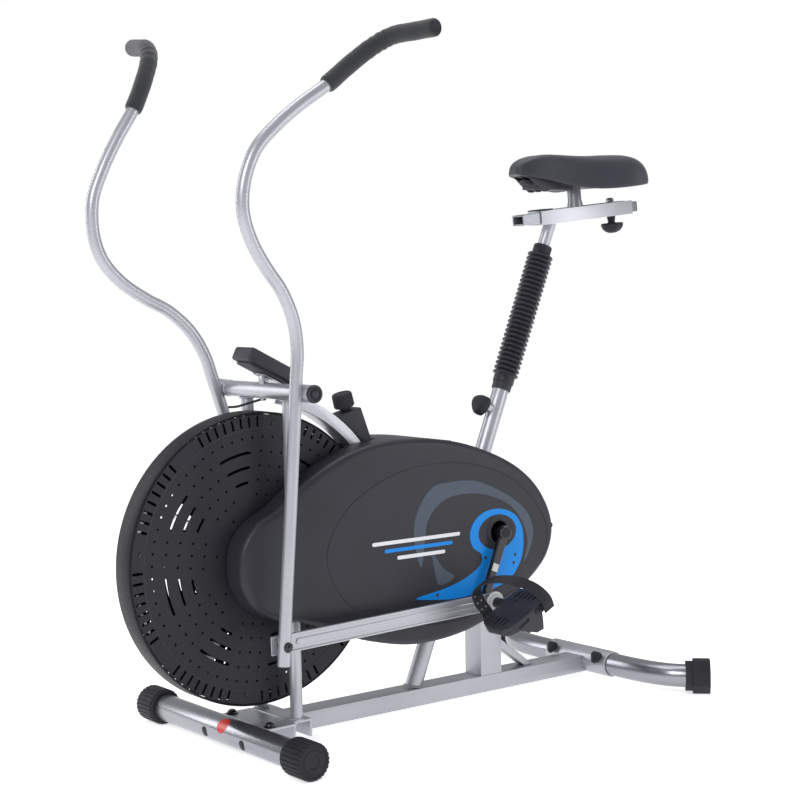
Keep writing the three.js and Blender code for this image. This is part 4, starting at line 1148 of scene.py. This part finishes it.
def add_console():
    """The console's own X runs down its face from the front edge, and its face is at Z 0."""
    half = CONSOLE_HALF
    shape = soft_brick((0, -half, -CONSOLE_THICK), (CONSOLE_LENGTH, half, -0.6), 4.5, 4)
    recess = soft_brick((16, -23, -1.6), (82, 23, 6), 1.0)
    up = (0, 0, 1)
    button_at = mm(BUTTON_PLACE, 0, 0)
    hole = lathe([(0, -3.4), (8.4, -3.4), (8.4, 8), (0, 8)], button_at, up, 40)
    body = on_console(cut_away(shape, [recess, hole]))
    stand_in("console", body, PLASTIC, sharp=30)
    shell = soft_brick((10, -22, -30), (CONSOLE_LENGTH - 10, 22, -24), 2)
    piece("console_lower_shell", on_console(shell), PLASTIC)
    bracket = on_console(soft_brick((46, -17, -33), (92, 17, -30.4), 0.8))
    web = soft_brick((-317, -8, 627), (-306, 8, 648), 1.0)
    stand_in("console_bracket", joined_mesh([bracket, web]), TUBE)
    window = soft_brick((18, -21, -2.2), (80, 21, -1.0), 0.5)
    piece("console_window", on_console(window), SCREEN)
    for number, y in enumerate(FIELD_PLACES):
        field = soft_brick((24, y - 4.5, -1.1), (74, y + 4.5, -0.85), 0.1, 1)
        piece(f"console_field_{number}", on_console(field), GREY)
    button = [(0, -1.5), (7.6, -1.5), (8, -1.1), (8, 0.3), (7.2, 1.0), (5, 1.25), (0, 1.3)]
    mesh = on_console(lathe(button, button_at, up, 40))
    stand_in("console_button", mesh, GREY, "console_button_body")


def add_resistance():
    refined("tension_housing", PLASTIC, "frame", 2.4)
    axis = joint_axis("tension_turn")
    start = joint_place("tension_turn") + axis * 0.6 * MM
    knob = [(0, 0), (10, 0), (10, 4), (17, 5.2), (18.6, 7), (18.9, 9), (18.6, 27), (18, 29.6), (16, 31.4),
            (12, 32), (11, 31.4), (0, 31.4)]
    flutes = grooves(22, 0.9, 17, 8, 29)
    mesh = lathe(knob, start, axis, 176, flutes)
    stand_in("tension_knob", mesh, RUBBER, "tension_knob_body")


# ---- Seat ---------------------------------------------------------------------------------------
# Sections of the saddle from nose to rear: share of the length, half width, top and skirt height in mm.
SADDLE_SECTIONS = [
    (0.000, 10, 1016, 1008), (0.012, 17, 1023, 1005), (0.045, 24, 1031.5, 1003), (0.10, 30, 1039.5, 1001.5),
    (0.18, 36, 1046.5, 998.5), (0.29, 42, 1048.5, 992), (0.40, 51, 1047.5, 985.5), (0.50, 61, 1046.5, 981),
    (0.60, 75, 1047, 979), (0.70, 91, 1049.5, 980), (0.80, 102, 1051, 983), (0.88, 106, 1050.5, 986),
    (0.94, 104, 1046, 988.5), (0.98, 98, 1037, 990), (1.0, 90, 1024, 991.5),
]
# Half of a section over the outside: share of the half width, and share of the height above the skirt.
SADDLE_CURVE = [
    (0.90, 0.02), (0.95, 0.0), (0.99, 0.03), (1.0, 0.12), (0.99, 0.30), (0.965, 0.50), (0.91, 0.70),
    (0.81, 0.86), (0.66, 0.95), (0.46, 0.99), (0.22, 0.99), (0.0, 0.975),
]
SADDLE_UNDERSIDE = 998.6
# The bracket under the nose, seen from the side.
NOSE_BRACKET = [(291, 1003), (300, 999), (318, 985), (334, 974.6), (345, 974.6), (352, 980), (412, 980),
                (412, 997), (310, 1003)]
SEAT_ORIGIN = Vector((0.3695, 0, 0.913))
SLIDER_LENGTH = 229.6
BELLOWS_FOLDS = 27
BELLOWS_PITCH = 9.5
# One fold of the bellows: share of the pitch, and radius in mm.
BELLOWS_FOLD = [(0.10, 20.0), (0.28, 24.2), (0.40, 25.2), (0.5, 25.4), (0.60, 25.2), (0.72, 24.2),
                (0.90, 20.0), (1, 19.4)]


def saddle_mesh():
    low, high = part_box("saddle")
    rings = []
    for share, half, top, skirt in SADDLE_SECTIONS:
        x = low.x + (high.x - low.x) * share
        under = max(SADDLE_UNDERSIDE, skirt + 1.5)
        right = [(0, under), (0.6 * half, under), (0.86 * half, under)]
        right += [(u * half, skirt + v * (top - skirt)) for u, v in SADDLE_CURVE]
        left = [(-y, z) for y, z in reversed(right[1:-1])]
        rings.append([Vector((x, y * MM, z * MM)) for y, z in right + left])
    holder = linked("pad", bridged(rings))
    smooth = holder.modifiers.new("smooth", "SUBSURF")
    smooth.levels = smooth.render_levels = 3
    return applied(holder)


def add_saddle():
    pad_mesh = saddle_mesh()
    for vertex in pad_mesh.vertices:
        soft = noise.noise(vertex.co * 18) * 0.9 + noise.noise(vertex.co * 60) * 0.18
        vertex.co.z += soft * MM * min(1, max(0, (vertex.co.z - 1.0) / 0.03))
    pad = piece("saddle_pad", pad_mesh, VINYL, "seat_body", ["saddle"], 180)
    refined("saddle_base", PLASTIC, "seat_body", 1.6)
    ribs = [sheet_mesh([NOSE_BRACKET], y, y + 4, 0.8, (0, 0, 0)) for y in (-22, -2, 18)]
    for x, z in ((328, 985), (346, 984), (366, 987), (386, 987)):
        ribs.append(soft_brick((x, -20, z - 5), (x + 4, 20, z + 8), 0.8))
    piece("saddle_nose_bracket", joined_mesh(ribs), PLASTIC, "seat_body")


def add_seat_support():
    post = refined("seat_post", PAINT, "seat_post_body")
    refined("seat_slider", SLIDER, "seat_body")
    turn = Matrix((SEAT_ALONG, Y_AXIS, SEAT_UP)).transposed().to_4x4()
    plug = soft_brick((-1.5, -16.2, -10), (4, 16.2, 10), 1.6, 3)
    plug_middle = SEAT_ORIGIN + SEAT_ALONG * SLIDER_LENGTH * MM + SEAT_UP * 13.75 * MM
    plug.transform(Matrix.Translation(plug_middle) @ turn)
    piece("slider_end_plug", plug, PLASTIC, "seat_body")
    lip = soft_brick((-38, -19.6, 27.95), (-4, 19.6, 30.2), 0.8)
    lip.transform(Matrix.Translation(SEAT_ORIGIN) @ turn)
    piece("channel_lip", lip, PLASTIC, "seat_post_body")


def add_seat_knobs():
    clamp = [(0, -35), (8, -34.4), (15, -31), (19.5, -26), (21.6, -21), (22, -17), (20.6, -15), (8, -14),
             (7, -12), (8.8, -1), (8.8, -0.6), (4.4, -0.6), (4.4, -6.6), (0, -6.6)]
    lobes = waves(5, 0.07, 12, -34, -14.5)
    mesh = lathe(clamp, joint_place("seat_clamp_turn"), SEAT_UP, 80, lobes)
    stand_in("seat_clamp_knob", mesh, RUBBER, "seat_clamp_knob_body")
    axis = joint_axis("seat_pin_pull")
    start = seat_line_point(0.5506)
    pull = [(0, 12.8), (4, 12.8), (4, 26), (8, 27), (16.72, 28.6), (19, 31), (19.38, 34), (19.19, 43),
            (16.15, 48), (10, 50), (0, 50)]
    mesh = lathe(pull, start, axis, 84, waves(3, 0.09, 12, 28))
    stand_in("seat_pin_knob", mesh, RUBBER, "seat_pin_knob_body")
    nut = [(4.6, 23.6), (9.6, 23.6), (10.4, 24.4), (10.4, 25.6), (9.4, 26.2), (4.6, 26.2), (4.6, 23.6)]
    piece("seat_pin_nut", lathe(nut, start, axis, 48, waves(6, -0.06, 9)), STEEL)


def add_bellows():
    profile = [(17.3, 0), (20, 0), (20.6, 0.8), (20.6, 12), (19.6, 13.6)]
    for i in range(BELLOWS_FOLDS):
        start = 14 + BELLOWS_PITCH * i
        profile += [(radius, start + BELLOWS_PITCH * share) for share, radius in BELLOWS_FOLD]
    profile += [(18.2, 272), (18.2, 286), (17.4, 287.6), (13, 287.6), (13, 277), (17.3, 274), (17.3, 0)]
    bottom = seat_line_point(0.603)
    mesh = lathe(profile, bottom, SEAT_LINE, 56)
    made = stand_in("seat_bellows", mesh, BELLOWS, sharp=60)
    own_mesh(made)


# ---- Carried-over CAD nodes ---------------------------------------------------------------------
def finish_cad_nodes():
    looks = {"fan_wheel": DARK, "fan_axle": STEEL, "crank_axle": DARK, "drive_chain": STEEL}
    for node, look in looks.items():
        target = frame["nodes"][node]
        target.data.materials.clear()
        target.data.materials.append(look)


set_camera()
add_levers()
add_cage()
add_covers()
add_front_foot()
add_rear_foot()
add_frame_tubes()
add_cranks_and_pedals()
add_links()
add_console()
add_resistance()
add_saddle()
add_seat_support()
add_seat_knobs()
add_bellows()
finish_cad_nodes()
set_floor()
set_studio()
